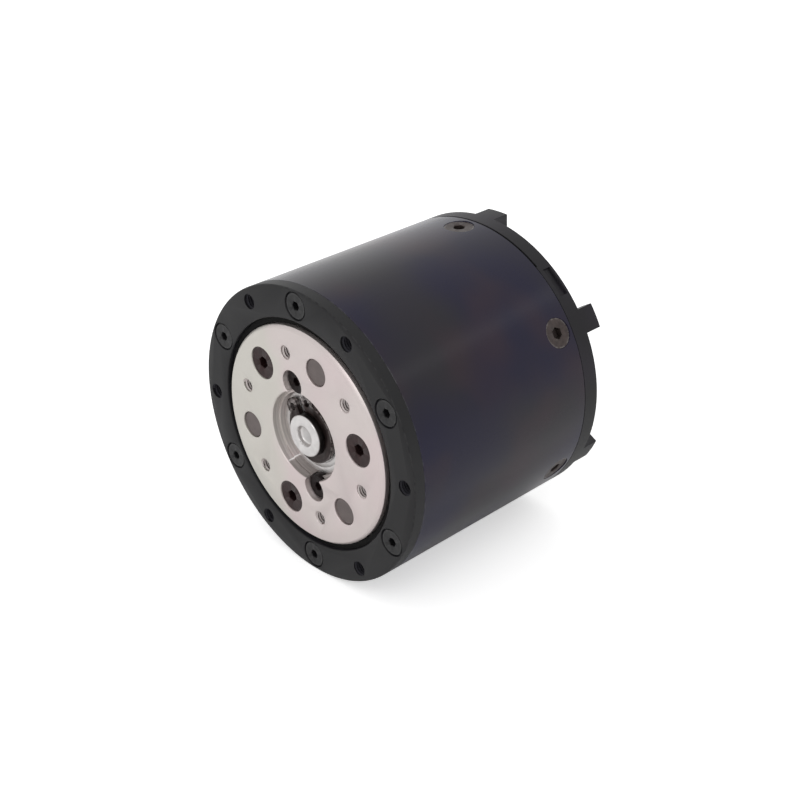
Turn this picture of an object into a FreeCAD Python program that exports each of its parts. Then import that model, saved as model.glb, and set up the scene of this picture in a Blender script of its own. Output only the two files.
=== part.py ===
"""Robot joint actuator: a 56 mm motor, driver board and planetary gearbox in one round housing.

Millimetres. The actuator's axis is Y: the output flange faces -Y, the rear cap faces +Y, and the
origin is the centre of the housing's front mounting face. Turns and phases are measured about
the axis from +X towards +Z. The driving dimensions are in the spreadsheet "Sizes"; every sketch
and primitive is bound to them by expressions.
"""

import FreeCAD, Part
import math
import operator
import os
from types import SimpleNamespace

import Sketcher
from FreeCAD import Placement, Rotation, Vector

doc = FreeCAD.newDocument("joint_actuator")
sheet = doc.addObject("Spreadsheet::Sheet", "Sizes")

# ---------------------------------------------------------------- driving dimensions
DIMENSIONS = {
    # housing
    "shell_radius": 28.0,
    "shell_bore": 26.2,
    "shell_end": 42.9,
    "edge_break": 0.15,
    "ring_bore": 22.0,
    "ring_depth": 2.3,
    "mount_pitch": 25.5,
    "ring_screw_pitch": 25.0,
    "side_count": 6,
    "side_phase": 30.0,
    "rear_radius": 28.0,
    "rear_end": 46.4,
    "rear_plate": 1.4,
    "skirt_start": 36.6,
    "skirt_inner": 23.6,
    "shell_screw_place": 39.5,
    "tab_end": 50.0,
    "tab_width": 4.6,
    "tab_depth": 2.6,
    "seam": 0.1,
    "pry_phase": 47.7,
    "pry_width": 5.8,
    "pry_depth": 0.6,
    "pry_height": 1.9,
    "groove_phase": 81.4,
    "groove_reach": 51.4,
    "groove_width": 0.3,
    "fit": 0.03,
    # output flange and hub
    "flange_proud": 0.45,
    "flange_radius": 20.75,
    "flange_back": 1.9,
    "hub_radius": 18.5,
    "hub_end": 10.1,
    "bevel": 0.55,
    "recess_radius": 8.5,
    "recess_depth": 1.5,
    "lobe_radius": 2.5,
    "lobe_pitch": 10.0,
    "lobe_phase": 101.6,
    "lobe_count": 2,
    "flange_hole_pitch": 15.8,
    "flange_hole_phase": 41.6,
    "carrier_pitch": 15.0,
    "screw_phase": 11.6,
    "pin_phase": 71.6,
    "planet_count": 3,
    "pin_radius": 2.5,
    # gears
    "gear_module": 0.5,
    "sun_teeth": 24,
    "planet_teeth": 36,
    "ring_teeth": 96,
    "gear_start": 10.3,
    "gear_end": 18.3,
    "plate_start": 18.8,
    "plate_end": 20.9,
    # bearings: bore, outside, ball-circle and ball radii
    "main_seat": 23.5,
    "main_circle": 21.0,
    "main_ball": 1.5,
    "main_width": 7.0,
    "main_balls": 28,
    "small_seat": 8.0,
    "small_circle": 6.0,
    "small_ball": 1.0,
    "small_width": 5.0,
    "small_balls": 11,
    "ball_gap": 0.04,
    "hub_bearing_start": 2.2,
    "rear_bearing_start": 33.8,
    # shaft and motor
    "shaft_radius": 4.0,
    "shaft_front": -0.25,
    "shaft_end": 39.2,
    "stack_start": 23.6,
    "stack_end": 33.6,
    "stator_bore": 17.5,
    "slot_count": 12,
    "pole_count": 14,
    "magnet_radius": 17.0,
    "yoke_radius": 15.2,
    "coil_overhang": 1.9,
    "plate_front": 36.0,
    "plate_rear": 38.8,
    # electronics
    "board_front": 42.3,
    "board_thick": 1.2,
    "board_radius": 22.5,
    "pillar_pitch": 19.6,
    "lead_pitch": 22.0,
}

for row, (alias, number) in enumerate(DIMENSIONS.items(), start=1):
    sheet.set(f"A{row}", alias)
    sheet.set(f"B{row}", str(number))
    sheet.setAlias(f"B{row}", alias)
doc.recompute()

SIGNS = {"+": operator.add, "-": operator.sub, "*": operator.mul, "/": operator.truediv}


class Size:
    """A number together with the spreadsheet expression that gives it."""

    def __init__(self, number, text):
        self.number = number
        self.text = text

    def __add__(self, other):
        return joined(self, "+", other)

    def __radd__(self, other):
        return joined(other, "+", self)

    def __sub__(self, other):
        return joined(self, "-", other)

    def __rsub__(self, other):
        return joined(other, "-", self)

    def __mul__(self, other):
        return joined(self, "*", other)

    def __rmul__(self, other):
        return joined(other, "*", self)

    def __truediv__(self, other):
        return joined(self, "/", other)

    def __neg__(self):
        return joined(0, "-", self)


def as_size(value):
    return value if isinstance(value, Size) else Size(float(value), f"({float(value):.6f})")


def joined(left, sign, right):
    left, right = as_size(left), as_size(right)
    number = SIGNS[sign](left.number, right.number)
    return Size(number, f"({left.text} {sign} {right.text})")


D = SimpleNamespace(**{alias: Size(float(sheet.get(alias)), f"Sizes.{alias}") for alias in DIMENSIONS})

# Heights along the axis that several pieces share.
FLANGE_FACE = -D.flange_proud
RECESS_FLOOR = FLANGE_FACE + D.recess_depth
BEARING_START = D.ring_depth
BEARING_END = D.ring_depth + D.main_width
BOARD_REAR = D.board_front + D.board_thick
CAP_FLOOR = D.rear_end - D.rear_plate
RIM_START = D.shell_end + D.seam
PHASE_NONE = 0


# ---------------------------------------------------------------- drawing and feature helpers
def set_bound(target, path, size):
    """Bind a property to an expression on the sheet."""
    target.setExpression(path, as_size(size).text)


def origin_item(body, role):
    return next(item for item in body.Origin.OriginFeatures if item.Role == role)


def new_body(label):
    body = doc.addObject("PartDesign::Body", label)
    body.Label = label
    body.AllowCompound = True
    return body


def new_sketch(body, name, plane, phase=PHASE_NONE, height=0):
    """A sketch through the axis (plane "XY_Plane") or square to it at a height ("XZ_Plane").

    The phase turns it about the axis. XZ_Plane's normal is -Y, so its offset is minus the height.
    """
    sketch = body.newObject("Sketcher::SketchObject", f"{body.Name}_{name}")
    sketch.AttachmentSupport = [(origin_item(body, plane), "")]
    sketch.MapMode = "FlatFace"
    across = plane == "XZ_Plane"
    turn = as_size(phase) if across else -as_size(phase)
    spin_axis = Vector(0, 0, 1) if across else Vector(0, 1, 0)
    sketch.AttachmentOffset = Placement(Vector(0, 0, 0), Rotation(spin_axis, turn.number or 1))
    set_bound(sketch, ".AttachmentOffset.Rotation.Angle", turn)
    if across:
        set_bound(sketch, ".AttachmentOffset.Base.z", -as_size(height))
    return sketch


def pin_down(sketch, places):
    """Hold points (geometry, end, x, y) at their bound distances from the sketch's origin."""
    constraints = []
    sizes = []
    for geometry, end, x, y in places:
        for kind, size in (("DistanceX", as_size(x)), ("DistanceY", as_size(y))):
            constraints.append(Sketcher.Constraint(kind, -1, 1, geometry, end, size.number))
            sizes.append(size)
    for index, size in zip(sketch.addConstraint(constraints), sizes):
        set_bound(sketch, f"Constraints[{index}]", size)


def draw_outline(sketch, outline):
    """Add a closed outline of straight edges through bound corners."""
    corners = [Vector(as_size(x).number, as_size(y).number, 0) for x, y in outline]
    first = sketch.GeometryCount
    count = len(corners)
    edges = [Part.LineSegment(corners[i], corners[(i + 1) % count]) for i in range(count)]
    sketch.addGeometry(edges, False)
    sketch.addConstraint([
        Sketcher.Constraint("Coincident", first + i, 2, first + (i + 1) % count, 1)
        for i in range(count)
    ])
    pin_down(sketch, [(first + i, 1, x, y) for i, (x, y) in enumerate(outline)])


def draw_circle(sketch, x, y, radius):
    x, y, radius = as_size(x), as_size(y), as_size(radius)
    circle = Part.Circle(Vector(x.number, y.number, 0), Vector(0, 0, 1), radius.number)
    index = sketch.addGeometry(circle, False)
    pin_down(sketch, [(index, 3, x, y)])
    held = sketch.addConstraint(Sketcher.Constraint("Radius", index, radius.number))
    set_bound(sketch, f"Constraints[{held}]", radius)


def turn_line(sketch, pitch):
    """A construction line parallel to the axis at the pitch radius, to revolve about."""
    x = as_size(pitch)
    line = Part.LineSegment(Vector(x.number, 0, 0), Vector(x.number, 1, 0))
    index = sketch.addGeometry(line, True)
    pin_down(sketch, [(index, 1, x, 0), (index, 2, x, 1)])
    return "Axis0"


def revolved(body, name, outline, cut=False, pitch=None, phase=PHASE_NONE):
    """Revolve an outline of (radius, height) about the axis, or about a line at a pitch radius.

    With a pitch, the outline's radii are measured from that line.
    """
    sketch = new_sketch(body, name, "XY_Plane", phase)
    about = "V_Axis"
    if pitch is not None:
        outline = [(pitch + radius, height) for radius, height in outline]
        about = turn_line(sketch, pitch)
    draw_outline(sketch, outline)
    kind = "PartDesign::Groove" if cut else "PartDesign::Revolution"
    feature = body.newObject(kind, f"{body.Name}_{name}_turn")
    feature.Profile = sketch
    feature.ReferenceAxis = (sketch, [about])
    feature.Angle = 360
    return feature


def radial_turn(body, name, outline, place, phase, cut=True):
    """Revolve a section about a line square to the axis, at a height and phase.

    The outline gives distances from that line and radii from the actuator's axis.
    """
    place = as_size(place)
    sketch = new_sketch(body, name, "XY_Plane", phase)
    line = Part.LineSegment(Vector(0, place.number, 0), Vector(1, place.number, 0))
    index = sketch.addGeometry(line, True)
    pin_down(sketch, [(index, 1, 0, place), (index, 2, 1, place)])
    draw_outline(sketch, [(radius, place + across) for across, radius in outline])
    kind = "PartDesign::Groove" if cut else "PartDesign::Revolution"
    feature = body.newObject(kind, f"{body.Name}_{name}_turn")
    feature.Profile = sketch
    feature.ReferenceAxis = (sketch, ["Axis0"])
    feature.Angle = 360
    return feature


def tube(inner, outer, start, end):
    """The outline of a plain ring, for revolved()."""
    return [(inner, start), (outer, start), (outer, end), (inner, end)]


def ball_groove(body, name, circle_radius, height, ball_radius):
    """Cut a bearing's ball track, round the axis."""
    sketch = new_sketch(body, name, "XY_Plane")
    draw_circle(sketch, circle_radius, height, ball_radius)
    feature = body.newObject("PartDesign::Groove", f"{body.Name}_{name}_turn")
    feature.Profile = sketch
    feature.ReferenceAxis = (sketch, ["V_Axis"])
    feature.Angle = 360
    return feature


def extruded(body, name, outlines, start, length, cut=False, phase=PHASE_NONE, circles=()):
    """Pad or pocket outlines drawn square to the axis, from a height towards +Y."""
    sketch = new_sketch(body, name, "XZ_Plane", phase, start)
    for outline in outlines:
        draw_outline(sketch, outline)
    for x, z, radius in circles:
        draw_circle(sketch, x, z, radius)
    kind = "PartDesign::Pocket" if cut else "PartDesign::Pad"
    feature = body.newObject(kind, f"{body.Name}_{name}_run")
    feature.Profile = sketch
    feature.Reversed = not cut
    feature.Length = as_size(length).number
    set_bound(feature, "Length", length)
    return feature


def box_outline(x_low, x_high, z_low, z_high):
    return [(x_low, z_low), (x_high, z_low), (x_high, z_high), (x_low, z_high)]


def hexagon(x, across_flats):
    """A hexagon's corners about (x, 0)."""
    reach = across_flats / math.sqrt(3)
    turns = [math.radians(60 * k + 30) for k in range(6)]
    return [(x + reach * math.cos(turn), reach * math.sin(turn)) for turn in turns]


def around(body, features, count):
    """Repeat features evenly round the axis."""
    pattern = body.newObject("PartDesign::PolarPattern", f"{features[0].Name}_around")
    pattern.Originals = features
    pattern.Axis = (origin_item(body, "Y_Axis"), [""])
    pattern.Angle = 360
    pattern.Occurrences = int(as_size(count).number)
    set_bound(pattern, "Occurrences", count)
    body.Tip = pattern
    return pattern


def holes(body, name, outline, pitch, phase, count):
    """A ring of round holes, each an outline turned about its own line, cut from the body."""
    hole = revolved(body, name, outline, cut=True, pitch=pitch, phase=phase)
    return around(body, [hole], count)


def plain_hole(radius, start, end):
    return tube(0, radius, start, end)


def tapped_hole(core, start, end):
    """A threaded hole's core with a 45 degree lead-in."""
    lead = 0.15
    return [(0, start - 0.5), (core + lead + 0.5, start - 0.5), (core, start + lead),
            (core, end - core * 0.6), (0, end)]


def screw_outline(screw, top, length, land):
    """A countersunk screw: a flat head with a thin land, a 90 degree cone and a plain shank."""
    cone_end = top + land + (screw.head - screw.shank)
    return [(0, top), (screw.head, top), (screw.head, top + land), (screw.shank, cone_end),
            (screw.shank, top + length - 0.3), (screw.shank - 0.3, top + length),
            (0, top + length)]


def seat_outline(screw, face, top, land, end):
    """The countersink that holds such a head, opening at the face, and its clearance hole."""
    rim = top + land
    mouth = screw.head + D.fit
    return [(0, face - 0.5), (mouth, face - 0.5), (mouth, rim),
            (screw.clearance, rim + mouth - screw.clearance), (screw.clearance, end), (0, end)]


def screw_ring(label, outline, socket_width, socket_depth, top, pitch, phase, count):
    """A ring of screws with hexagon sockets, parallel to the axis with heads towards -Y."""
    body = new_body(label)
    shape = revolved(body, "screw", outline, pitch=pitch, phase=phase)
    socket = extruded(body, "socket", [hexagon(pitch, socket_width)], top, socket_depth,
                      cut=True, phase=phase)
    around(body, [shape, socket], count)
    return body


def ring_body(label, outline):
    body = new_body(label)
    revolved(body, "ring", outline)
    return body


# ---------------------------------------------------------------- housing
# Screws: head, thread-core, tapped-hole and clearance radii, and the socket's width across flats.
M25 = SimpleNamespace(head=2.35, shank=1.0, core=1.025, clearance=1.45, socket=1.5)
M3 = SimpleNamespace(head=3.05, shank=1.45, core=1.25, clearance=1.6, socket=2.0)
RING_SCREW_TOP = 0.12
RING_SCREW_LAND = 0.05
RING_SCREW_RELIEF = 0.28
SEAM_BREAK = 0.05


def make_front_ring():
    """The mounting ring that closes the shell and holds the main bearing."""
    corner = D.edge_break
    body = ring_body("front_ring", [
        (D.ring_bore + corner, 0), (D.shell_radius - corner, 0), (D.shell_radius, corner),
        (D.shell_radius, D.ring_depth - SEAM_BREAK), (D.shell_radius - SEAM_BREAK, D.ring_depth),
        (D.ring_bore, D.ring_depth), (D.ring_bore, corner)])
    holes(body, "mount", tapped_hole(M3.core, 0, D.ring_depth + 2), D.mount_pitch, PHASE_NONE,
          D.side_count)
    holes(body, "seat", seat_outline(M25, 0, RING_SCREW_TOP, RING_SCREW_LAND, D.ring_depth + 1),
          D.ring_screw_pitch, D.side_phase, D.side_count)
    holes(body, "relief", plain_hole(M25.head + RING_SCREW_RELIEF, -0.5, 0.5), D.ring_screw_pitch,
          D.side_phase, D.side_count)


def make_front_ring_screws():
    screw_ring("front_ring_screws",
               screw_outline(M25, RING_SCREW_TOP, 7.6, RING_SCREW_LAND),
               M25.socket, 1.1, RING_SCREW_TOP, D.ring_screw_pitch, D.side_phase, D.side_count)


SIDE_HEAD = 2.8
SIDE_TOP = D.shell_radius - 0.22
SIDE_SEAT = SIDE_TOP - (SIDE_HEAD - M3.clearance)


def make_main_shell():
    """The tube: a bearing seat and lip at the front, then one bore for ring gear and motor."""
    body = ring_body("main_shell", [
        (D.main_seat, D.ring_depth), (D.shell_radius - SEAM_BREAK, D.ring_depth),
        (D.shell_radius, D.ring_depth + SEAM_BREAK), (D.shell_radius, D.shell_end - SEAM_BREAK),
        (D.shell_radius - SEAM_BREAK, D.shell_end), (D.shell_bore, D.shell_end),
        (D.shell_bore, D.gear_start), (D.main_seat - 1.3, D.gear_start),
        (D.main_seat - 1.3, BEARING_END), (D.main_seat, BEARING_END)])
    holes(body, "mount", [(0, 2), (M3.core, 2), (M3.core, 8.2), (0, 9)], D.mount_pitch,
          PHASE_NONE, D.side_count)
    holes(body, "screw", [(0, 2), (M25.core, 2), (M25.core, 8.0), (0, 8.7)],
          D.ring_screw_pitch, D.side_phase, D.side_count)
    seat = radial_turn(body, "side", [
        (0, D.shell_bore - 2), (M3.clearance, D.shell_bore - 2), (M3.clearance, SIDE_SEAT),
        (SIDE_HEAD + D.fit, SIDE_TOP + D.fit), (SIDE_HEAD + D.fit, D.shell_radius + 1),
        (0, D.shell_radius + 1)], D.shell_screw_place, D.side_phase)
    around(body, [seat], D.side_count)


def make_shell_screws():
    """Six radial countersunk screws through the shell into the rear cap's skirt."""
    body = new_body("shell_screws")
    tip = D.skirt_inner + 0.2
    shape = radial_turn(body, "screw", [
        (0, tip), (M3.shank - 0.3, tip), (M3.shank, tip + 0.3), (M3.shank, SIDE_SEAT),
        (SIDE_HEAD, SIDE_TOP), (0, SIDE_TOP)], D.shell_screw_place, D.side_phase, cut=False)
    sketch = body.newObject("Sketcher::SketchObject", "shell_screws_socket")
    sketch.AttachmentSupport = [(origin_item(body, "YZ_Plane"), "")]
    sketch.MapMode = "FlatFace"
    # YZ_Plane's axes are Y and Z with normal +X. The turn about Y brings it to the screws' phase.
    sketch.AttachmentOffset = Placement(Vector(0, 0, 0), Rotation(Vector(1, 0, 0), 1))
    set_bound(sketch, ".AttachmentOffset.Rotation.Angle", -D.side_phase)
    depth = 1.3
    floor = SIDE_TOP - depth
    angle = math.radians(D.side_phase.number)
    set_bound(sketch, ".AttachmentOffset.Base.y", floor * math.sin(angle))
    set_bound(sketch, ".AttachmentOffset.Base.z", floor * math.cos(angle))
    draw_outline(sketch, [(D.shell_screw_place + along, across - 1)
                          for across, along in hexagon(1, M3.socket)])
    socket = body.newObject("PartDesign::Pocket", "shell_screws_socket_run")
    socket.Profile = sketch
    socket.Reversed = True
    socket.Length = depth + 0.5
    around(body, [shape, socket], D.side_count)


CAP_BREAK = 0.12
POWER_PLACE, POWER_SIZE = (0, 10.5), (12.0, 6.4)
SIGNAL_PLACES = ((-7.0, -10.5), (7.0, -10.5))
SIGNAL_SIZE = (9.0, 4.6)
WINDOWS = {
    "power_window": (POWER_PLACE, POWER_SIZE),
    "left_window": (SIGNAL_PLACES[0], SIGNAL_SIZE),
    "right_window": (SIGNAL_PLACES[1], SIGNAL_SIZE),
}


def make_rear_cap():
    """The rear cover: a skirt inside the shell, a flush rim, six tabs and connector windows."""
    body = ring_body("rear_cap", [
        (0, CAP_FLOOR), (D.skirt_inner, CAP_FLOOR), (D.skirt_inner, D.skirt_start),
        (D.shell_bore - D.fit, D.skirt_start), (D.shell_bore - D.fit, RIM_START),
        (D.rear_radius - SEAM_BREAK, RIM_START), (D.rear_radius, RIM_START + SEAM_BREAK),
        (D.rear_radius, D.rear_end - CAP_BREAK), (D.rear_radius - CAP_BREAK, D.rear_end),
        (0, D.rear_end)])
    tab_root = CAP_FLOOR + 0.4
    half = D.tab_width / 2
    tab = extruded(body, "tab", [box_outline(D.rear_radius - D.tab_depth, D.rear_radius + 1,
                                             -half, half)],
                   tab_root, D.tab_end - tab_root, phase=D.side_phase)
    around(body, [tab], D.side_count)
    # The tabs' outer faces follow the rim.
    revolved(body, "trim", [(D.rear_radius, D.rear_end - 3), (D.rear_radius + 3, D.rear_end - 3),
                            (D.rear_radius + 3, D.tab_end + 1),
                            (D.rear_radius - CAP_BREAK, D.tab_end + 1),
                            (D.rear_radius - CAP_BREAK, D.tab_end),
                            (D.rear_radius, D.tab_end - CAP_BREAK)], cut=True)
    screw_hole = radial_turn(body, "thread", [
        (0, D.skirt_inner - 1), (M3.shank + D.fit, D.skirt_inner - 1),
        (M3.shank + D.fit, D.shell_radius - 1), (0, D.shell_radius - 1)],
        D.shell_screw_place, D.side_phase)
    around(body, [screw_hole], D.side_count)
    # A notch in the rim takes a tool to lift the cap, and a groove in the seam leads to it.
    notch = box_outline(D.rear_radius - D.pry_depth, D.rear_radius + 1, -D.pry_width / 2,
                        D.pry_width / 2)
    extruded(body, "notch", [notch], RIM_START + 0.9, D.pry_height, cut=True, phase=D.pry_phase)
    groove = revolved(body, "groove", tube(D.rear_radius - 0.5, D.rear_radius + 1, RIM_START - 0.1,
                                           RIM_START + D.groove_width), cut=True,
                      phase=D.groove_phase)
    groove.Midplane = True
    groove.Angle = D.groove_reach.number
    set_bound(groove, "Angle", D.groove_reach)
    for name, (place, size) in WINDOWS.items():
        grown = [value + 0.3 for value in size]
        extruded(body, name, [centred_box(place, grown)], CAP_FLOOR - 1, D.rear_plate + 2,
                 cut=True)


def centred_box(place, size):
    (x, z), (width, depth) = place, size
    return box_outline(x - width / 2, x + width / 2, z - depth / 2, z + depth / 2)


def make_seals():
    """The rubber lip behind the flange's edge, and the flat gasket in the rear seam."""
    lip_gap = 0.1
    ring_body("output_seal", [
        (D.flange_radius + lip_gap, 0.95), (D.ring_bore - D.fit, 0.75),
        (D.ring_bore - D.fit, D.ring_depth), (D.flange_radius + 0.5, D.ring_depth),
        (D.flange_radius + 0.5, 1.5), (D.flange_radius + lip_gap, 1.3)])
    ring_body("rear_gasket", tube(D.shell_bore + 0.1, D.shell_radius - 0.15, D.shell_end,
                                  RIM_START))


# ---------------------------------------------------------------- bearings
def make_bearing(prefix, bore, seat, circle_radius, ball, start, width, count):
    """A deep-groove bearing: two grooved rings, its balls, and a cage between them."""
    middle = start + width / 2
    shoulder = ball * 0.7 if ball.number > 1.2 else ball * 0.8
    track = ball + D.ball_gap
    corner = 0.2
    inner = ring_body(f"{prefix}_bearing_inner_ring", [
        (bore, start), (circle_radius - shoulder, start), (circle_radius - shoulder, start + width),
        (bore, start + width)])
    ball_groove(inner, "track", circle_radius, middle, track)
    outer = ring_body(f"{prefix}_bearing_outer_ring", [
        (circle_radius + shoulder, start), (seat - corner, start), (seat, start + corner),
        (seat, start + width - corner), (seat - corner, start + width),
        (circle_radius + shoulder, start + width)])
    ball_groove(outer, "track", circle_radius, middle, track)
    balls = new_body(f"{prefix}_bearing_balls")
    sphere = balls.newObject("PartDesign::AdditiveSphere", f"{prefix}_ball")
    for path, size in (("Radius", ball), (".Placement.Base.x", circle_radius),
                       (".Placement.Base.y", middle)):
        set_bound(sphere, path, size)
    around(balls, [sphere], count)
    cage_half = 0.4 * shoulder
    cage_reach = ball * 1.25
    cage = ring_body(f"{prefix}_bearing_cage",
                     tube(circle_radius - cage_half, circle_radius + cage_half,
                          middle - cage_reach, middle + cage_reach))
    pocket = radial_turn(cage, "pocket", tube(0, track, circle_radius - ball,
                                              circle_radius + ball), middle, PHASE_NONE)
    around(cage, [pocket], count)


# ---------------------------------------------------------------- output side
CARRIER_SCREW_TOP = FLANGE_FACE + 0.25
CARRIER_SCREW_LAND = 0.12


def make_output_flange():
    """The silver flange with its hub, which is also the front plate of the planet carrier."""
    body = ring_body("output_flange", [
        (D.recess_radius + 0.2, FLANGE_FACE), (D.flange_radius - D.bevel, FLANGE_FACE),
        (D.flange_radius, FLANGE_FACE + D.bevel), (D.flange_radius, D.flange_back),
        (D.main_circle - 1.0, D.flange_back), (D.main_circle - 1.0, D.ring_depth),
        (D.hub_radius, D.ring_depth), (D.hub_radius, D.hub_end), (D.small_seat - 1, D.hub_end),
        (D.small_seat - 1, D.hub_bearing_start + D.small_width),
        (D.small_seat, D.hub_bearing_start + D.small_width), (D.small_seat, RECESS_FLOOR),
        (D.recess_radius, RECESS_FLOOR), (D.recess_radius, FLANGE_FACE + 0.2)])
    lobe_edge = 0.15
    holes(body, "lobe", [
        (0, FLANGE_FACE - 0.5), (D.lobe_radius + lobe_edge + 0.5, FLANGE_FACE - 0.5),
        (D.lobe_radius, FLANGE_FACE + lobe_edge), (D.lobe_radius, D.hub_bearing_start),
        (0, D.hub_bearing_start)], D.lobe_pitch, D.lobe_phase, D.lobe_count)
    holes(body, "lobe_thread", plain_hole(M25.core, D.hub_bearing_start - 0.5, 7.4),
          D.lobe_pitch, D.lobe_phase, D.lobe_count)
    holes(body, "mount", tapped_hole(M3.core, FLANGE_FACE, 7.6), D.flange_hole_pitch,
          D.flange_hole_phase, D.side_count)
    holes(body, "pin", [
        (0, FLANGE_FACE - 0.5), (D.pin_radius + 0.62, FLANGE_FACE - 0.5),
        (D.pin_radius + D.fit, FLANGE_FACE + 0.12), (D.pin_radius + D.fit, D.hub_end + 1),
        (0, D.hub_end + 1)], D.carrier_pitch, D.pin_phase, D.planet_count)
    holes(body, "screw", seat_outline(M3, FLANGE_FACE, CARRIER_SCREW_TOP, CARRIER_SCREW_LAND,
                                      D.hub_end + 1),
          D.carrier_pitch, D.screw_phase, D.planet_count)


def make_carrier_plate():
    """The rear half of the planet carrier, with three posts that bolt to the flange's hub."""
    body = ring_body("carrier_plate", tube(D.small_seat - 0.6, D.hub_radius + 1, D.plate_start,
                                           D.plate_end))
    post_radius = 4.3
    post = revolved(body, "post", tube(0, post_radius, D.hub_end, D.plate_start + 0.5),
                    pitch=D.carrier_pitch, phase=D.screw_phase)
    around(body, [post], D.planet_count)
    holes(body, "thread", plain_hole(M3.shank + D.fit, D.hub_end - 1, 17.5), D.carrier_pitch,
          D.screw_phase, D.planet_count)
    holes(body, "pin", plain_hole(D.pin_radius + D.fit, D.plate_start - 1, D.plate_end + 1),
          D.carrier_pitch, D.pin_phase, D.planet_count)


def make_carrier_fasteners():
    """Countersunk carrier screws, planet pins, and the low-head screws over the hub bearing."""
    screw_ring("carrier_screws",
               screw_outline(M3, CARRIER_SCREW_TOP, 16.0, CARRIER_SCREW_LAND),
               M3.socket, 1.3, CARRIER_SCREW_TOP, D.carrier_pitch, D.screw_phase,
               D.planet_count)
    pins = new_body("planet_pins")
    sunk, chamfer = 0.3, 0.1
    top = FLANGE_FACE + sunk
    pin = revolved(pins, "pin", [
        (0, top), (D.pin_radius - chamfer, top), (D.pin_radius, top + chamfer),
        (D.pin_radius, D.plate_end - chamfer), (D.pin_radius - chamfer, D.plate_end),
        (0, D.plate_end)], pitch=D.carrier_pitch, phase=D.pin_phase)
    around(pins, [pin], D.planet_count)
    head, thickness = 2.25, 1.6
    low_top = D.hub_bearing_start - thickness
    screw_ring("bearing_retaining_screws", [
        (0, low_top), (head - 0.15, low_top), (head, low_top + 0.15),
        (head, D.hub_bearing_start), (M25.shank, D.hub_bearing_start), (M25.shank, 6.6),
        (0, 6.6)], M25.socket, 0.7, low_top, D.lobe_pitch, D.lobe_phase, D.lobe_count)


def make_bearing_shield():
    """The thin steel shield in the front of the hub bearing's outer ring."""
    start = D.hub_bearing_start + 0.15
    ring_body("hub_bearing_shield", tube(D.small_circle - 0.65, D.small_circle + 0.78,
                                         start, start + 0.2))


# ---------------------------------------------------------------- gears
TOOTH_PRESSURE = math.radians(20)
TOOTH_CLEARANCE = 0.25
TOOTH_SLACK = 0.045


def involute(angle):
    return math.tan(angle) - angle


def tooth_half_angle(teeth, radius, slack):
    """Half the angle of one tooth of the basic profile at a radius, thinned by the slack."""
    pitch = D.gear_module.number * teeth / 2
    base = pitch * math.cos(TOOTH_PRESSURE)
    there = math.acos(min(1.0, base / max(radius, base)))
    return math.pi / (2 * teeth) + involute(TOOTH_PRESSURE) - involute(there) - slack / pitch


def toothed_wire(teeth, radii, phase, slack):
    """A closed wire round a gear: each flank has straight facets between the given radii."""
    corners = []
    for tooth in range(teeth):
        centre = phase + tooth * 2 * math.pi / teeth
        halves = [(radius, tooth_half_angle(teeth, radius, slack)) for radius in radii]
        flank_up = [(radius, centre - half) for radius, half in halves]
        flank_down = [(radius, centre + half) for radius, half in reversed(halves)]
        for radius, angle in flank_up + flank_down:
            corners.append(Vector(radius * math.cos(angle), 0, radius * math.sin(angle)))
    return Part.makePolygon(corners + corners[:1])


def gear_radii(teeth, root, tip):
    """Three radii up a flank: root, pitch circle and tip, offsets in modules."""
    module = D.gear_module.number
    pitch = module * teeth / 2
    return [pitch - root * module, pitch, pitch + tip * module]


def gear_solid(label, outer, inner_radius, start, end):
    """Extrude the face between an outer wire and a round bore from start to end."""
    face = Part.Face([outer, Part.Wire(Part.makeCircle(inner_radius, Vector(0, 0, 0),
                                                       Vector(0, 1, 0)))])
    gear = doc.addObject("Part::Feature", label)
    gear.Label = label
    gear.Shape = face.extrude(Vector(0, (end - start).number, 0))
    gear.Placement = Placement(Vector(0, start.number, 0), Rotation())
    return gear


def make_gears():
    """Sun, planets and ring in mesh with the carrier at its rest phase."""
    sun, planet, ring = (int(size.number) for size in (D.sun_teeth, D.planet_teeth, D.ring_teeth))
    start, end = D.gear_start + 0.2, D.gear_end
    ring_step = 2 * math.pi / ring
    pin_turns = [math.radians(D.pin_phase.number + 120 * k) for k in range(3)]
    # The sun has a tooth towards each planet, because its teeth divide by three.
    wire = toothed_wire(sun, gear_radii(sun, 1 + TOOTH_CLEARANCE, 1), pin_turns[0], TOOTH_SLACK)
    gear_solid("sun_gear", wire, D.shaft_radius.number, start, end)
    for number, turn in enumerate(pin_turns, start=1):
        make_planet(number, planet, turn, start, end)
    # The ring gear's spaces are the teeth of an external gear with the slack on the other side.
    # Towards each planet it has a space, which the planet's opposite tooth fills.
    radii = gear_radii(ring, 1, 1 + TOOTH_CLEARANCE)
    spaces = toothed_wire(ring, radii, pin_turns[0] + ring_step / 2, -TOOTH_SLACK)
    outer = Part.Wire(Part.makeCircle((D.shell_bore - D.fit).number, Vector(0, 0, 0),
                                      Vector(0, 1, 0)))
    gear = doc.addObject("Part::Feature", "ring_gear")
    gear.Label = "ring_gear"
    gear.Shape = Part.Face([outer, spaces]).extrude(Vector(0, (end - D.gear_start).number, 0))
    gear.Placement = Placement(Vector(0, D.gear_start.number, 0), Rotation())


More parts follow.
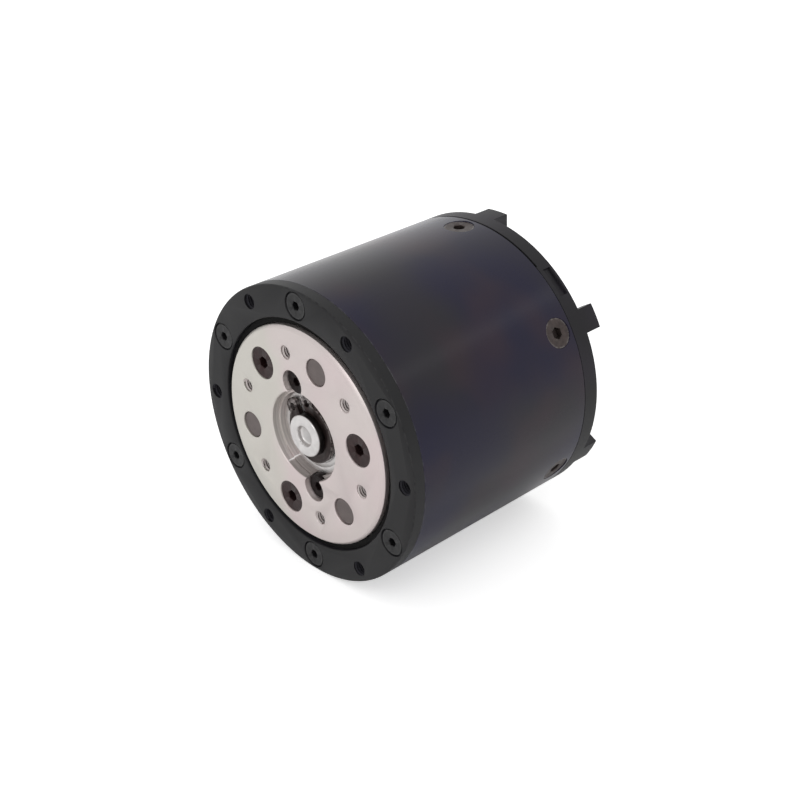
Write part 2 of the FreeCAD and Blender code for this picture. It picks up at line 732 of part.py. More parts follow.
def make_planet(number, teeth, turn, start, end):
    """A planet with a space towards the sun, and its bronze bush."""
    radii = gear_radii(teeth, 1 + TOOTH_CLEARANCE, 1)
    towards_sun = turn + math.pi
    wire = toothed_wire(teeth, radii, towards_sun + math.pi / teeth, TOOTH_SLACK)
    centre = Vector(D.carrier_pitch.number * math.cos(turn), 0,
                    D.carrier_pitch.number * math.sin(turn))
    bush_outer = D.pin_radius + 1.0
    gear = gear_solid(f"planet_gear_{number}", wire, (bush_outer + D.fit).number, start, end)
    gear.Placement = Placement(centre + Vector(0, start.number, 0), Rotation())
    bush = doc.addObject("Part::Feature", f"planet_bush_{number}")
    bush.Label = f"planet_bush_{number}"
    running = 0.05
    foot = centre + Vector(0, (D.hub_end + 0.15).number, 0)
    length = (D.plate_start - 0.15 - (D.hub_end + 0.15)).number
    sleeve = Part.makeCylinder(bush_outer.number, length, Vector(0, 0, 0), Vector(0, 1, 0))
    bore = Part.makeCylinder(D.pin_radius.number + running, length, Vector(0, 0, 0),
                             Vector(0, 1, 0))
    bush.Shape = sleeve.cut(bore)
    bush.Placement = Placement(foot, Rotation())


# ---------------------------------------------------------------- rotor
CLIP_START = D.hub_bearing_start - 0.9
CLIP_END = D.hub_bearing_start - 0.05
HUB_START = 22.0


def make_shaft():
    """The motor shaft: a centre hole and circlip groove at the front, a magnet seat behind."""
    groove_depth = 0.4
    centre_hole = 1.9
    ring_body("rotor_shaft", [
        (0, D.shaft_front + 2.1), (centre_hole, D.shaft_front + 1.0),
        (centre_hole, D.shaft_front + 0.25), (centre_hole + 0.25, D.shaft_front),
        (D.shaft_radius - 0.3, D.shaft_front), (D.shaft_radius, D.shaft_front + 0.3),
        (D.shaft_radius, CLIP_START), (D.shaft_radius - groove_depth, CLIP_START),
        (D.shaft_radius - groove_depth, CLIP_END), (D.shaft_radius, CLIP_END),
        (D.shaft_radius, D.shaft_end), (0, D.shaft_end)])
    ring_body("encoder_magnet", plain_hole(3.0, D.shaft_end, D.shaft_end + 1.8))
    sleeve = D.small_circle - 0.8
    ring_body("front_shaft_sleeve", tube(D.shaft_radius + D.fit, sleeve,
                                         D.hub_bearing_start + D.small_width,
                                         D.gear_start + 0.2))
    ring_body("rear_shaft_sleeve", tube(D.shaft_radius + D.fit, sleeve, D.gear_end,
                                        HUB_START))


CLIP_PHASE = 117.2


def make_circlip():
    """An external circlip: an open band with two lugs and their plier holes."""
    body = new_body("circlip")
    thickness = CLIP_END - CLIP_START
    band_in, band_out = D.shaft_radius - 0.35, 5.7
    lug_pitch, lug_radius, lug_hole, lug_turn = 5.85, 1.6, 0.7, 22.3
    extruded(body, "band", [], CLIP_START, thickness, circles=[(0, 0, band_out)])
    extruded(body, "bore", [], CLIP_START - 1, thickness + 2, cut=True, circles=[(0, 0, band_in)])
    for side, phase in (("left", CLIP_PHASE + lug_turn), ("right", CLIP_PHASE - lug_turn)):
        extruded(body, f"{side}_lug", [], CLIP_START, thickness, phase=phase,
                 circles=[(lug_pitch, 0, lug_radius)])
        extruded(body, f"{side}_hole", [], CLIP_START - 1, thickness + 2, cut=True, phase=phase,
                 circles=[(lug_pitch, 0, lug_hole)])
    gap = 0.9
    extruded(body, "gap", [box_outline(1.0, 9.0, -gap, gap)], CLIP_START - 1, thickness + 2,
             cut=True, phase=CLIP_PHASE)


def make_rotor():
    """The rotor hub, a turned steel yoke on the shaft, and its ring of arc magnets."""
    web_front, web_rear = 26.4, 29.2
    rim_front, rim_rear = D.stack_start + 0.2, D.stack_end - 0.2
    rim_inner, boss, tail, tail_end = 13.0, 6.6, 6.0, 33.0
    bore, collar = D.shaft_radius + D.fit, D.small_circle - 0.8
    body = ring_body("rotor_hub", [
        (bore, HUB_START), (boss, HUB_START), (boss, web_front), (rim_inner, web_front),
        (rim_inner, rim_front), (D.yoke_radius, rim_front), (D.yoke_radius, rim_rear),
        (rim_inner, rim_rear), (rim_inner, web_rear), (tail, web_rear), (tail, tail_end),
        (collar, tail_end), (collar, D.rear_bearing_start), (bore, D.rear_bearing_start)])
    holes(body, "lightening", plain_hole(2.2, web_front - 1, web_rear + 1), 9.8, PHASE_NONE, 6)
    magnets = new_body("rotor_magnets")
    half = math.pi / D.pole_count.number - 0.02
    inner, outer = D.yoke_radius + D.fit, D.magnet_radius
    chord = outer * math.tan(half)
    block = extruded(magnets, "block", [[
        (inner, inner * -math.tan(half)), (outer * math.cos(half), -chord * math.cos(half)),
        (outer, -chord * 0.55), (outer, chord * 0.55),
        (outer * math.cos(half), chord * math.cos(half)), (inner, inner * math.tan(half))]],
                     rim_front, rim_rear - rim_front)
    around(magnets, [block], D.pole_count)


# ---------------------------------------------------------------- stator
TOOTH_HALF = 1.8
FORMER_WALL = 0.35
FORMER_END = 0.4
WINDING_GAP = 0.02
COIL_HALF = 4.3


def make_stator():
    """Twelve-slot lamination stack, its plastic coil formers and the copper coils."""
    back = 23.5
    body = ring_body("stator_core", tube(D.stator_bore, D.shell_bore - D.fit, D.stack_start,
                                         D.stack_end))
    step = math.pi / D.slot_count.number
    mouth, shoe, slot_foot = 0.55, 18.3, 18.9
    near, far = (radius * math.tan(step) - TOOTH_HALF / math.cos(step)
                 for radius in (slot_foot, back))
    outline = [(D.stator_bore - 1, -mouth), (shoe, -mouth), (slot_foot, -near), (back, -far),
               (back, far), (slot_foot, near), (shoe, mouth), (D.stator_bore - 1, mouth)]
    cut = extruded(body, "slot", [outline], D.stack_start - 1, D.stack_end - D.stack_start + 2,
                   cut=True, phase=180 / D.slot_count.number)
    around(body, [cut], D.slot_count)
    make_wound_rings(back)


def wound_loop(label, outline, reach, wall, overhang, gap):
    """A loop round each stator tooth: a block that overhangs the stack, less the tooth."""
    body = new_body(label)
    length = D.stack_end - D.stack_start
    block = extruded(body, "block", [outline], D.stack_start - overhang, length + 2 * overhang)
    window = extruded(body, "window", [box_outline(reach[0] - 1, reach[1] + 1, -wall, wall)],
                      D.stack_start - gap, length + 2 * gap, cut=True)
    around(body, [block, window], D.slot_count)


def make_wound_rings(back):
    """Plastic coil formers round the teeth, and the coils wound on them."""
    former_side = TOOTH_HALF + FORMER_WALL
    former = (19.15, back - 0.35)
    wound_loop("coil_formers", box_outline(*former, -former_side, former_side), former,
               TOOTH_HALF + WINDING_GAP, FORMER_END, 0)
    coil = (19.3, back - 0.55)
    near = coil[0] * math.tan(math.pi / D.slot_count.number) - FORMER_WALL
    outline = [(coil[0], -near), (coil[1], -COIL_HALF), (coil[1], COIL_HALF), (coil[0], near)]
    wound_loop("stator_coils", outline, coil, former_side + WINDING_GAP, D.coil_overhang,
               FORMER_END + WINDING_GAP)


LEAD_PHASE = 15.0
PILLAR_PHASE = 90.0


def make_stator_supports():
    """The spacer ahead of the stator and the end plate behind it with the rear bearing seat."""
    outer = D.shell_bore - D.fit
    ring_body("stator_spacer", tube(24.4, outer, D.gear_end, D.stack_start))
    bearing_end = D.rear_bearing_start + D.small_width
    body = ring_body("motor_end_plate", [
        (24.0, D.stack_end), (outer, D.stack_end), (outer, D.skirt_start),
        (D.skirt_inner - 0.1, D.skirt_start), (D.skirt_inner - 0.1, bearing_end),
        (D.small_seat + D.fit, bearing_end), (D.small_seat + D.fit, D.rear_bearing_start),
        (7.0, D.rear_bearing_start), (7.0, 33.2), (10.2, 33.2), (10.2, D.plate_front),
        (24.0, D.plate_front)])
    holes(body, "lead", plain_hole(0.95, D.plate_front - 1, D.plate_rear + 1), D.lead_pitch,
          LEAD_PHASE, 3)
    holes(body, "pillar", plain_hole(0.8, D.plate_rear - 1.6, D.plate_rear + 1),
          D.pillar_pitch, PILLAR_PHASE, 3)


# ---------------------------------------------------------------- electronics
def pillar_set(label, outline, pitch, phase, count):
    body = new_body(label)
    shape = revolved(body, "pillar", outline, pitch=pitch, phase=phase)
    around(body, [shape], count)
    return body


def block_set(label, boxes, start, length, phase=PHASE_NONE, count=1):
    """Separate blocks square to the axis, repeated round it when the count is over one."""
    body = new_body(label)
    features = []
    for index, (place, size) in enumerate(boxes):
        features.append(extruded(body, f"block_{index}", [centred_box(place, size)], start,
                                 length, phase=phase))
    if count > 1:
        around(body, features, count)
    return body


SOCKET_RISE = 4.2
SOCKET_FLOOR = 1.0


def make_electronics():
    """Driver board on three pillars, its chips, and the sockets that look out of the cap."""
    board = ring_body("driver_board", plain_hole(D.board_radius, D.board_front, BOARD_REAR))
    holes(board, "screw", plain_hole(1.15, D.board_front - 1, BOARD_REAR + 1), D.pillar_pitch,
          PILLAR_PHASE, 3)
    pillar_set("board_pillars", tube(0.85, 2.2, D.plate_rear, D.board_front), D.pillar_pitch,
               PILLAR_PHASE, 3)
    head = 1.9
    screw_ring("board_screws", [
        (0, BOARD_REAR + 1.1), (0, D.board_front - 2.4), (0.8, D.board_front - 2.4),
        (0.8, BOARD_REAR), (head, BOARD_REAR), (head, BOARD_REAR + 0.9),
        (head - 0.2, BOARD_REAR + 1.1)], 1.3, 0.6, BOARD_REAR + 0.5, D.pillar_pitch,
               PILLAR_PHASE, 3)
    block_set("mosfets", [((12.5, 0), (5.0, 6.0))], D.board_front - 1.0, 1.0, 0, 6)
    block_set("capacitors", [((18.0, 0), (3.2, 2.6))], D.board_front - 2.5, 2.5, 0, 6)
    block_set("encoder_chip", [((0, 0), (3.2, 3.2))], D.board_front - 0.8, 0.8)
    block_set("controller_chip", [((0, 0), (7.0, 7.0))], BOARD_REAR, 1.0)
    pillar_set("phase_leads", plain_hole(0.6, D.stack_end + D.coil_overhang, D.board_front),
               D.lead_pitch, LEAD_PHASE, 3)
    make_sockets("power_connector", [POWER_PLACE], POWER_SIZE, [-3.0, 3.0], (4.4, 4.6))
    make_sockets("signal_connectors", SIGNAL_PLACES, SIGNAL_SIZE, [0.0], (7.8, 3.2))
    contact_pins("power_contacts", [(x, POWER_PLACE[1]) for x in (-3.0, 3.0)], 1.4)
    contact_pins("signal_contacts",
                 [(x + step, z) for x, z in SIGNAL_PLACES for step in (-2.25, -0.75, 0.75, 2.25)],
                 0.5)


def make_sockets(label, places, size, cavities, cavity_size):
    """Connector housings on the board's rear face, each with its open cavities."""
    body = block_set(label, [(place, size) for place in places], BOARD_REAR, SOCKET_RISE)
    for number, (x, z) in enumerate(places):
        outlines = [centred_box((x + step, z), cavity_size) for step in cavities]
        extruded(body, f"cavity_{number}", outlines, BOARD_REAR + SOCKET_FLOOR, SOCKET_RISE,
                 cut=True)


def contact_pins(label, places, width):
    """Square contact pins standing on the floor of the sockets."""
    block_set(label, [(place, (width, width)) for place in places], BOARD_REAR + SOCKET_FLOOR,
              SOCKET_RISE - SOCKET_FLOOR - 0.6)


# ---------------------------------------------------------------- assembly and export
def make_all():
    make_front_ring()
    make_front_ring_screws()
    make_main_shell()
    make_shell_screws()
    make_rear_cap()
    make_seals()
    make_bearing("output", D.hub_radius, D.main_seat, D.main_circle, D.main_ball,
                 BEARING_START, D.main_width, D.main_balls)
    for prefix, start in (("hub", D.hub_bearing_start), ("rear", D.rear_bearing_start)):
        make_bearing(prefix, D.shaft_radius + D.fit, D.small_seat, D.small_circle, D.small_ball,
                     start, D.small_width, D.small_balls)
    make_output_flange()
    make_carrier_plate()
    make_carrier_fasteners()
    make_bearing_shield()
    make_gears()
    make_shaft()
    make_circlip()
    make_rotor()
    make_stator()
    make_stator_supports()
    make_electronics()


def sub_parts():
    """The document's finished pieces: bodies, and the features that aren't inside one."""
    return [item for item in doc.Objects
            if item.TypeId == "PartDesign::Body" or item.TypeId == "Part::Feature"]


def check_document():
    """Stop with the names of anything that failed to build."""
    failed = [item.Name for item in doc.Objects if {"Invalid", "Error"} & set(item.State)]
    for item in sub_parts():
        shape = item.Shape
        if shape.isNull() or not shape.isValid() or not shape.Solids:
            failed.append(item.Label)
    if failed:
        raise RuntimeError(f"failed to build: {', '.join(failed)}")


def write_parts():
    os.makedirs("parts", exist_ok=True)
    for item in sub_parts():
        item.Shape.exportStep(f"parts/{item.Label}.step")
        print(f"{item.Label:28s} {len(item.Shape.Solids):3d} solids {item.Shape.Volume:10.2f} mm3")


make_all()
doc.recompute()
check_document()
write_parts()
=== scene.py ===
"""Robot joint actuator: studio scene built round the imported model.

Metres. The actuator's axis is Y, its output flange faces -Y, and turns about the axis are
measured from +X towards +Z. The file is laid out as an add-on and is run as a script.
"""

import math

import bmesh
import bpy
from bpy.props import FloatProperty, FloatVectorProperty, IntProperty, PointerProperty
from mathutils import Matrix, Vector


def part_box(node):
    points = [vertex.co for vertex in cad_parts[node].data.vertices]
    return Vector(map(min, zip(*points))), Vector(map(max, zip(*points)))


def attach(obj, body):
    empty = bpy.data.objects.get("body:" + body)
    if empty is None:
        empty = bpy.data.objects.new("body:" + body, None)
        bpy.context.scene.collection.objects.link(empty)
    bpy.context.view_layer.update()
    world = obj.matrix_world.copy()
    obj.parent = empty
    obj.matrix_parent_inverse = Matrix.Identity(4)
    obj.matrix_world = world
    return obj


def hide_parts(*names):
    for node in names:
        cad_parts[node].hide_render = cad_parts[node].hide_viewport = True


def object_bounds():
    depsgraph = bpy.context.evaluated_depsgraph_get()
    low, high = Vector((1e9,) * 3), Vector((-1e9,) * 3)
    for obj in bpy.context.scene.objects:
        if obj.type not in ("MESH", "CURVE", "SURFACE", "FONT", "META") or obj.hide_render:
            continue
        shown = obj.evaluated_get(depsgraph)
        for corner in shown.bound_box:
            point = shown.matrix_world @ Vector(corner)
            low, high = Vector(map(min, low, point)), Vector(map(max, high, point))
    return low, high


bl_info = {
    "name": "Joint Actuator",
    "version": (1, 0, 0),
    "blender": (4, 5, 0),
    "location": "View3D > Sidebar > Actuator",
    "description": "Builds the visible pieces, finishes and stage of a robot joint actuator",
    "category": "Object",
}

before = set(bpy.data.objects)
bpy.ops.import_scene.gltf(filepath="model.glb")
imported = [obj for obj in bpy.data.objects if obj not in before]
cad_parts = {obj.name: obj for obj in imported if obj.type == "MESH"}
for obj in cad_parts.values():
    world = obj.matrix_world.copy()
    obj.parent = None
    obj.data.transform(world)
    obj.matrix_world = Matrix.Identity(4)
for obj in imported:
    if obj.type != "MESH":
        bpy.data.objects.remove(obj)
CAD_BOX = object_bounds()

MM = 0.001
AXIS = Vector((0, 1, 0))
WELD = 1e-6
SHARP = math.radians(30)
FULL = 2 * math.pi


def radius_of(node):
    """The largest radius of a node that is centred on the axis."""
    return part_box(node)[1].x


def front_of(node):
    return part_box(node)[0].y


def rear_of(node):
    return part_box(node)[1].y


# ---------------------------------------------------------------- sizes and colours
def length(name, description, default):
    return FloatProperty(name=name, description=description, default=default, min=0,
                         precision=5, unit="LENGTH")


def turn(name, description, degrees):
    return FloatProperty(name=name, description=description, default=math.radians(degrees),
                         subtype="ANGLE")


def amount(name, description, default, top=1.0):
    return FloatProperty(name=name, description=description, default=default, min=0, max=top,
                         subtype="FACTOR" if top == 1.0 else "NONE")


def colour(name, description, default):
    return FloatVectorProperty(name=name, description=description, default=default, min=0,
                               max=1, size=3, subtype="COLOR")


class ActuatorSizes(bpy.types.PropertyGroup):
    """Lengths and angles of the pieces."""

    edge_break: length("Edge break", "Softened width of a machined edge", 0.06 * MM)
    thread_pitch: length("Thread pitch", "Pitch of the M3 threads", 0.5 * MM)
    thread_major: length("Thread major radius", "Root of an M3 internal thread", 1.5 * MM)
    thread_minor: length("Thread minor radius", "Crest of an M3 internal thread", 1.25 * MM)
    mount_pitch: length("Mounting circle", "Radius of the ring's threaded holes", 25.5 * MM)
    ring_screw_pitch: length("Ring screw circle", "Radius of the ring's screws", 25.0 * MM)
    side_turn: turn("Side turn", "First radial screw, tab and ring screw", 30)
    side_screw_place: length("Side screw place", "Height of the radial screws", 39.5 * MM)
    side_count: IntProperty(name="Side count", description="Screws round the housing",
                            default=6, min=1)
    output_pitch: length("Output circle", "Radius of the flange's threaded holes", 15.8 * MM)
    output_turn: turn("Output turn", "First threaded hole of the flange", 41.6)
    carrier_pitch: length("Carrier circle", "Radius of carrier screws and pins", 15.0 * MM)
    screw_turn: turn("Screw turn", "First carrier screw", 11.6)
    pin_turn: turn("Pin turn", "First planet pin", 71.6)
    carrier_count: IntProperty(name="Carrier count", description="Carrier screws and pins",
                               default=3, min=1)
    lobe_pitch: length("Lobe circle", "Radius of the two lobes", 10.0 * MM)
    lobe_turn: turn("Lobe turn", "First lobe of the recess", 101.6)
    recess_radius: length("Recess radius", "Rim of the flange's recess", 9.0 * MM)
    # The turn of the bright radial line on the recess's ledge, a painted highlight.
    highlight_turn: turn("Mark turn", "Cutter's mark across the recess's ledge", 235)
    ring_head: length("Ring screw head", "Radius of the ring screws' heads", 2.35 * MM)
    side_head: length("Side screw head", "Radius of the radial screws' heads", 2.8 * MM)
    side_screw_face: length("Side screw face", "From the axis to the heads' faces", 27.78 * MM)
    carrier_head: length("Carrier screw head", "Radius of the carrier screws' heads", 3.05 * MM)
    lobe_head: length("Retaining screw head", "Radius of the lobes' screw heads", 2.25 * MM)
    pin_radius: length("Pin radius", "Radius of the planet pins", 2.5 * MM)
    small_socket: length("Small socket", "Hexagon across flats, M2.5 screws", 1.5 * MM)
    large_socket: length("Large socket", "Hexagon across flats, M3 screws", 2.0 * MM)


class ActuatorColours(bpy.types.PropertyGroup):
    """Base colours of the finishes."""

    shell: colour("Shell", "Black anodised tube", (0.0135, 0.0112, 0.0165))
    shell_blue: colour("Shell blue", "Blue cast of the dye", (0.0055, 0.0040, 0.0235))
    shell_red: colour("Shell red", "Reddish cast of the dye", (0.026, 0.0115, 0.019))
    ring: colour("Ring", "Black anodised ring and cap", (0.0085, 0.0083, 0.0092))
    flange: colour("Flange", "Clear anodised aluminium", (0.61, 0.55, 0.535))
    flange_warm: colour("Flange warm", "Warm patches of the flange", (0.615, 0.535, 0.53))
    flange_green: colour("Flange green", "Greenish patches of the flange", (0.56, 0.555, 0.50))
    black_screw: colour("Black screw", "Black oxide steel", (0.033, 0.0155, 0.0155))
    side_screw: colour("Side screw", "Worn oxide of the radial screws", (0.058, 0.044, 0.041))
    pin: colour("Pin", "Hardened and ground pins", (0.145, 0.122, 0.118))
    bright_steel: colour("Bright steel", "Turned shaft and bearing rings", (0.72, 0.70, 0.69))
    spring: colour("Spring steel", "Phosphated circlip", (0.030, 0.020, 0.0185))
    # Darker than the carrier screws' black oxide: partly the oxide, partly painted shade for
    # screws deep in the lobes.
    lobe_screw: colour("Retaining screw", "Black oxide in the lobes", (0.010, 0.005, 0.005))
    rubber: colour("Rubber", "Nitrile seals", (0.003, 0.003, 0.003))
    power_plastic: colour("Power socket", "Yellow nylon", (0.62, 0.42, 0.05))
    signal_plastic: colour("Signal sockets", "Natural nylon", (0.55, 0.53, 0.48))
    gold: colour("Contacts", "Gold plate", (0.83, 0.60, 0.24))


class ActuatorStage(bpy.types.PropertyGroup):
    """Camera and studio light."""

    azimuth: turn("Azimuth", "Camera's turn round the object", 47.535)
    elevation: turn("Elevation", "Camera's height above the horizon", 27.921)
    roll: turn("Roll", "Camera's tilt about its own line of sight", -2.263)
    distance: length("Distance", "From the camera to the point it looks at", 0.26253)
    aim: FloatVectorProperty(name="Aim", description="Point the camera looks at",
                             default=(-0.00017, 0.02326, -0.00192), size=3, unit="LENGTH",
                             precision=5)
    lens: FloatProperty(name="Lens", description="Focal length", default=63.26, min=1,
                        unit="CAMERA")
    world: amount("Surround", "Strength of the white surround", 0.8, 2.0)
    key: amount("Key light", "Power of the large soft light", 0.45, 20.0)
    rim: amount("Rim light", "Power of the light over the rear", 0.02, 20.0)
    strip: amount("Strip light", "Power of the long light beside the tube", 0.06, 20.0)


GROUPS = {"actuator_sizes": ActuatorSizes, "actuator_colours": ActuatorColours,
          "actuator_stage": ActuatorStage}


# ---------------------------------------------------------------- shader expressions
class Value:
    """A shader value: arithmetic on it adds Math nodes to its finish."""

    def __init__(self, finish, socket):
        self.finish = finish
        self.socket = socket

    def math(self, operation, *others):
        return self.finish.node("ShaderNodeMath", {"operation": operation},
                                dict(enumerate([self, *others])))

    def reflected(self, operation, other):
        return self.finish.node("ShaderNodeMath", {"operation": operation},
                                {0: other, 1: self})

    def __add__(self, other):
        return self.math("ADD", other)

    __radd__ = __add__

    def __sub__(self, other):
        return self.math("SUBTRACT", other)

    def __rsub__(self, other):
        return self.reflected("SUBTRACT", other)

    def __mul__(self, other):
        return self.math("MULTIPLY", other)

    __rmul__ = __mul__

    def __pow__(self, other):
        return self.math("POWER", other)

    def __abs__(self):
        return self.math("ABSOLUTE")

    def step(self, low, high):
        """0 below low and 1 above high, smooth between; the other way round if low > high."""
        return self.finish.node(
            "ShaderNodeMapRange", {"interpolation_type": "SMOOTHSTEP"},
            {"Value": self, "From Min": low, "From Max": high})


class Finish:
    """One procedural material. Patterns read the piece's own coordinates, in metres."""

    def __init__(self, name):
        self.material = bpy.data.materials.new(name)
        self.material.use_nodes = True
        self.tree = self.material.node_tree
        self.shader = self.tree.nodes["Principled BSDF"]
        self.place = self.node("ShaderNodeTexCoord", output="Object")
        self.x, self.y, self.z = self.parts(self.place)
        self.radius = (self.x * self.x + self.z * self.z) ** 0.5

    def node(self, kind, settings=None, inputs=None, output=0):
        """Add a node: its settings first, then the values or links of its sockets."""
        made = self.tree.nodes.new(kind)
        for key, value in (settings or {}).items():
            setattr(made, key, value)
        self.feed(made, inputs or {})
        return Value(self, made.outputs[output])

    def feed(self, made, inputs):
        for key, value in inputs.items():
            if isinstance(value, Value):
                self.tree.links.new(value.socket, made.inputs[key])
            elif made.inputs[key].type == "RGBA":
                made.inputs[key].default_value = (*value[:3], 1)
            else:
                made.inputs[key].default_value = value

    def parts(self, vector):
        split = self.node("ShaderNodeSeparateXYZ", inputs={0: vector}).socket.node
        return [Value(self, socket) for socket in split.outputs]

    def local(self):
        """Coordinates about the piece's own turning axis, where it is a set of turned pieces."""
        return self.node("ShaderNodeAttribute", {"attribute_name": TURNED}, output="Vector")

    def grain(self, size, detail=2.0, roughness=0.5, place=None, stretch=(1, 1, 1)):
        """Noise about 0.5 whose spots are about `size` across."""
        place = place or self.place
        if stretch != (1, 1, 1):
            place = self.node("ShaderNodeMapping", inputs={"Vector": place, "Scale": stretch})
        return self.node("ShaderNodeTexNoise", inputs={
            "Vector": place, "Scale": 1 / size, "Detail": detail, "Roughness": roughness})

    def lines(self, along, pitch, wobble=0.0):
        """Fine machining lines, one each pitch along a coordinate, from 0 to 1."""
        swing = along * (FULL / pitch)
        if wobble:
            swing = swing + self.grain(pitch * 9) * wobble
        return swing.math("SINE") * 0.5 + 0.5

    def mix(self, factor, first, second):
        return self.node("ShaderNodeMix", {"data_type": "RGBA"},
                         {0: factor, 6: first, 7: second}, output=2)

    def rim(self, radius, height, width):
        """1 on a round edge at a radius and height, fading to 0 over the width."""
        across, along = self.radius - radius, self.y - height
        return ((across * across + along * along) ** 0.5).step(width, 0)

    def bump(self, height, depth, strength=1.0):
        return self.node("ShaderNodeBump", inputs={
            "Strength": strength, "Distance": depth, "Height": height})

    def done(self, **inputs):
        """Set the shader's sockets; an underscore in a name stands for a space."""
        self.feed(self.shader, {name.replace("_", " "): value for name, value in inputs.items()})
        return self.material


TURNED = "turned_place"
FINISHES = {}


def finish(maker):
    """Build each finish once, however many pieces take it."""
    def given(*arguments, **named):
        key = (maker.__name__, *arguments, *named.items())
        if key not in FINISHES:
            FINISHES[key] = maker(*arguments, **named)
        return FINISHES[key]
    return given


def colours():
    return bpy.context.scene.actuator_colours


def sizes():
    return bpy.context.scene.actuator_sizes


def dark(rgb, share):
    """A colour scaled by a share."""
    return tuple(channel * share for channel in rgb[:3])


@finish
def shell_finish():
    """Turned, blasted and black anodised tube whose dye has blue and reddish clouds."""
    skin, c = Finish("shell_black_anodised"), colours()
    cloud = skin.grain(22 * MM, 1.0).step(0.32, 0.62)
    blush = skin.grain(15 * MM, 1.5, place=skin.node("ShaderNodeMapping", inputs={
        "Vector": skin.place, "Location": (0.03, 0.011, 0.02)})).step(0.48, 0.72)
    base = skin.mix(cloud, c.shell, c.shell_blue)
    base = skin.mix(blush * 0.6, base, c.shell_red)
    blast = skin.grain(0.14 * MM, 2.0)
    edge_front = skin.rim(radius_of("main_shell"), front_of("main_shell"), 0.2 * MM)
    edge_rear = skin.rim(radius_of("main_shell"), rear_of("main_shell"), 0.2 * MM)
    # Lighter front and rear edges: rubbed wear, and at the front edge also a painted highlight
    # along the seam.
    wear_and_edge_highlight = (edge_front + edge_rear * 0.4) * skin.grain(1.3 * MM).step(0.35, 0.65)
    base = skin.mix(wear_and_edge_highlight * 0.5, base, (0.12, 0.12, 0.125))
    marks = skin.grain(6 * MM, 3.0, 0.6)
    turning = skin.lines(skin.y, 0.22 * MM, 1.5)
    relief = blast * 0.7 + turning * 0.3
    return skin.done(
        Base_Color=base, Roughness=0.22 + (marks - 0.5) * 0.05 + (blast - 0.5) * 0.04,
        Normal=skin.bump(relief, 0.008 * MM, 0.5), Specular_IOR_Level=0.25)


@finish
def ring_finish():
    """Matt black anodise whose outer front edge is lighter: partly rubbed bare metal, partly a
    painted highlight.
    """
    skin, c = Finish("ring_black_anodised"), colours()
    outer, face = radius_of("front_ring"), front_of("front_ring")
    blast = skin.grain(0.12 * MM, 2.5)
    cloud = skin.grain(9 * MM, 2.0)
    base = skin.mix(cloud.step(0.35, 0.7), c.ring, dark(c.ring, 1.35))
    # Painted highlight and wear: the outer front edge is lightened in broken patches.
    edge = skin.rim(outer, face, 0.2 * MM)
    base = skin.mix(edge * skin.grain(1.1 * MM).step(0.38, 0.62) * 0.5, base,
                    (0.10, 0.10, 0.10))
    cavity = (skin.y - face).step(0.1 * MM, 0.4 * MM) * skin.radius.step(
        outer - 0.3 * MM, outer - 0.4 * MM)
    base = skin.mix(cavity * 0.8, base, (0.012, 0.0117, 0.015))
    facing = skin.lines(skin.radius, 0.17 * MM, 2.0)
    return skin.done(
        Base_Color=base, Roughness=0.47 + (cloud - 0.5) * 0.12 + (blast - 0.5) * 0.08,
        Normal=skin.bump(blast * 0.8 + facing * 0.2, 0.010 * MM, 0.5), Specular_IOR_Level=0.24)


@finish
def cap_finish():
    """The cap's black anodise: as on the ring, and faintly reddish in patches."""
    skin, c = Finish("cap_black_anodised"), colours()
    cloud = skin.grain(14 * MM, 1.5)
    blast = skin.grain(0.14 * MM, 2.0)
    base = skin.mix(cloud.step(0.4, 0.65), c.ring, c.shell)
    return skin.done(
        Base_Color=base, Roughness=0.43 + (cloud - 0.5) * 0.1 + (blast - 0.5) * 0.06,
        Normal=skin.bump(blast, 0.008 * MM, 0.5), Specular_IOR_Level=0.2)


@finish
def bore_finish():
    """Dull black anodise deep inside the ring's threaded holes."""
    skin = Finish("bore_black_anodised")
    blast = skin.grain(0.12 * MM, 2.0)
    return skin.done(
        Base_Color=skin.mix(blast, (0.016, 0.0155, 0.020), (0.028, 0.027, 0.034)),
        Roughness=0.6 + (blast - 0.5) * 0.1, Normal=skin.bump(blast, 0.008 * MM, 0.5),
        Specular_IOR_Level=0.2)


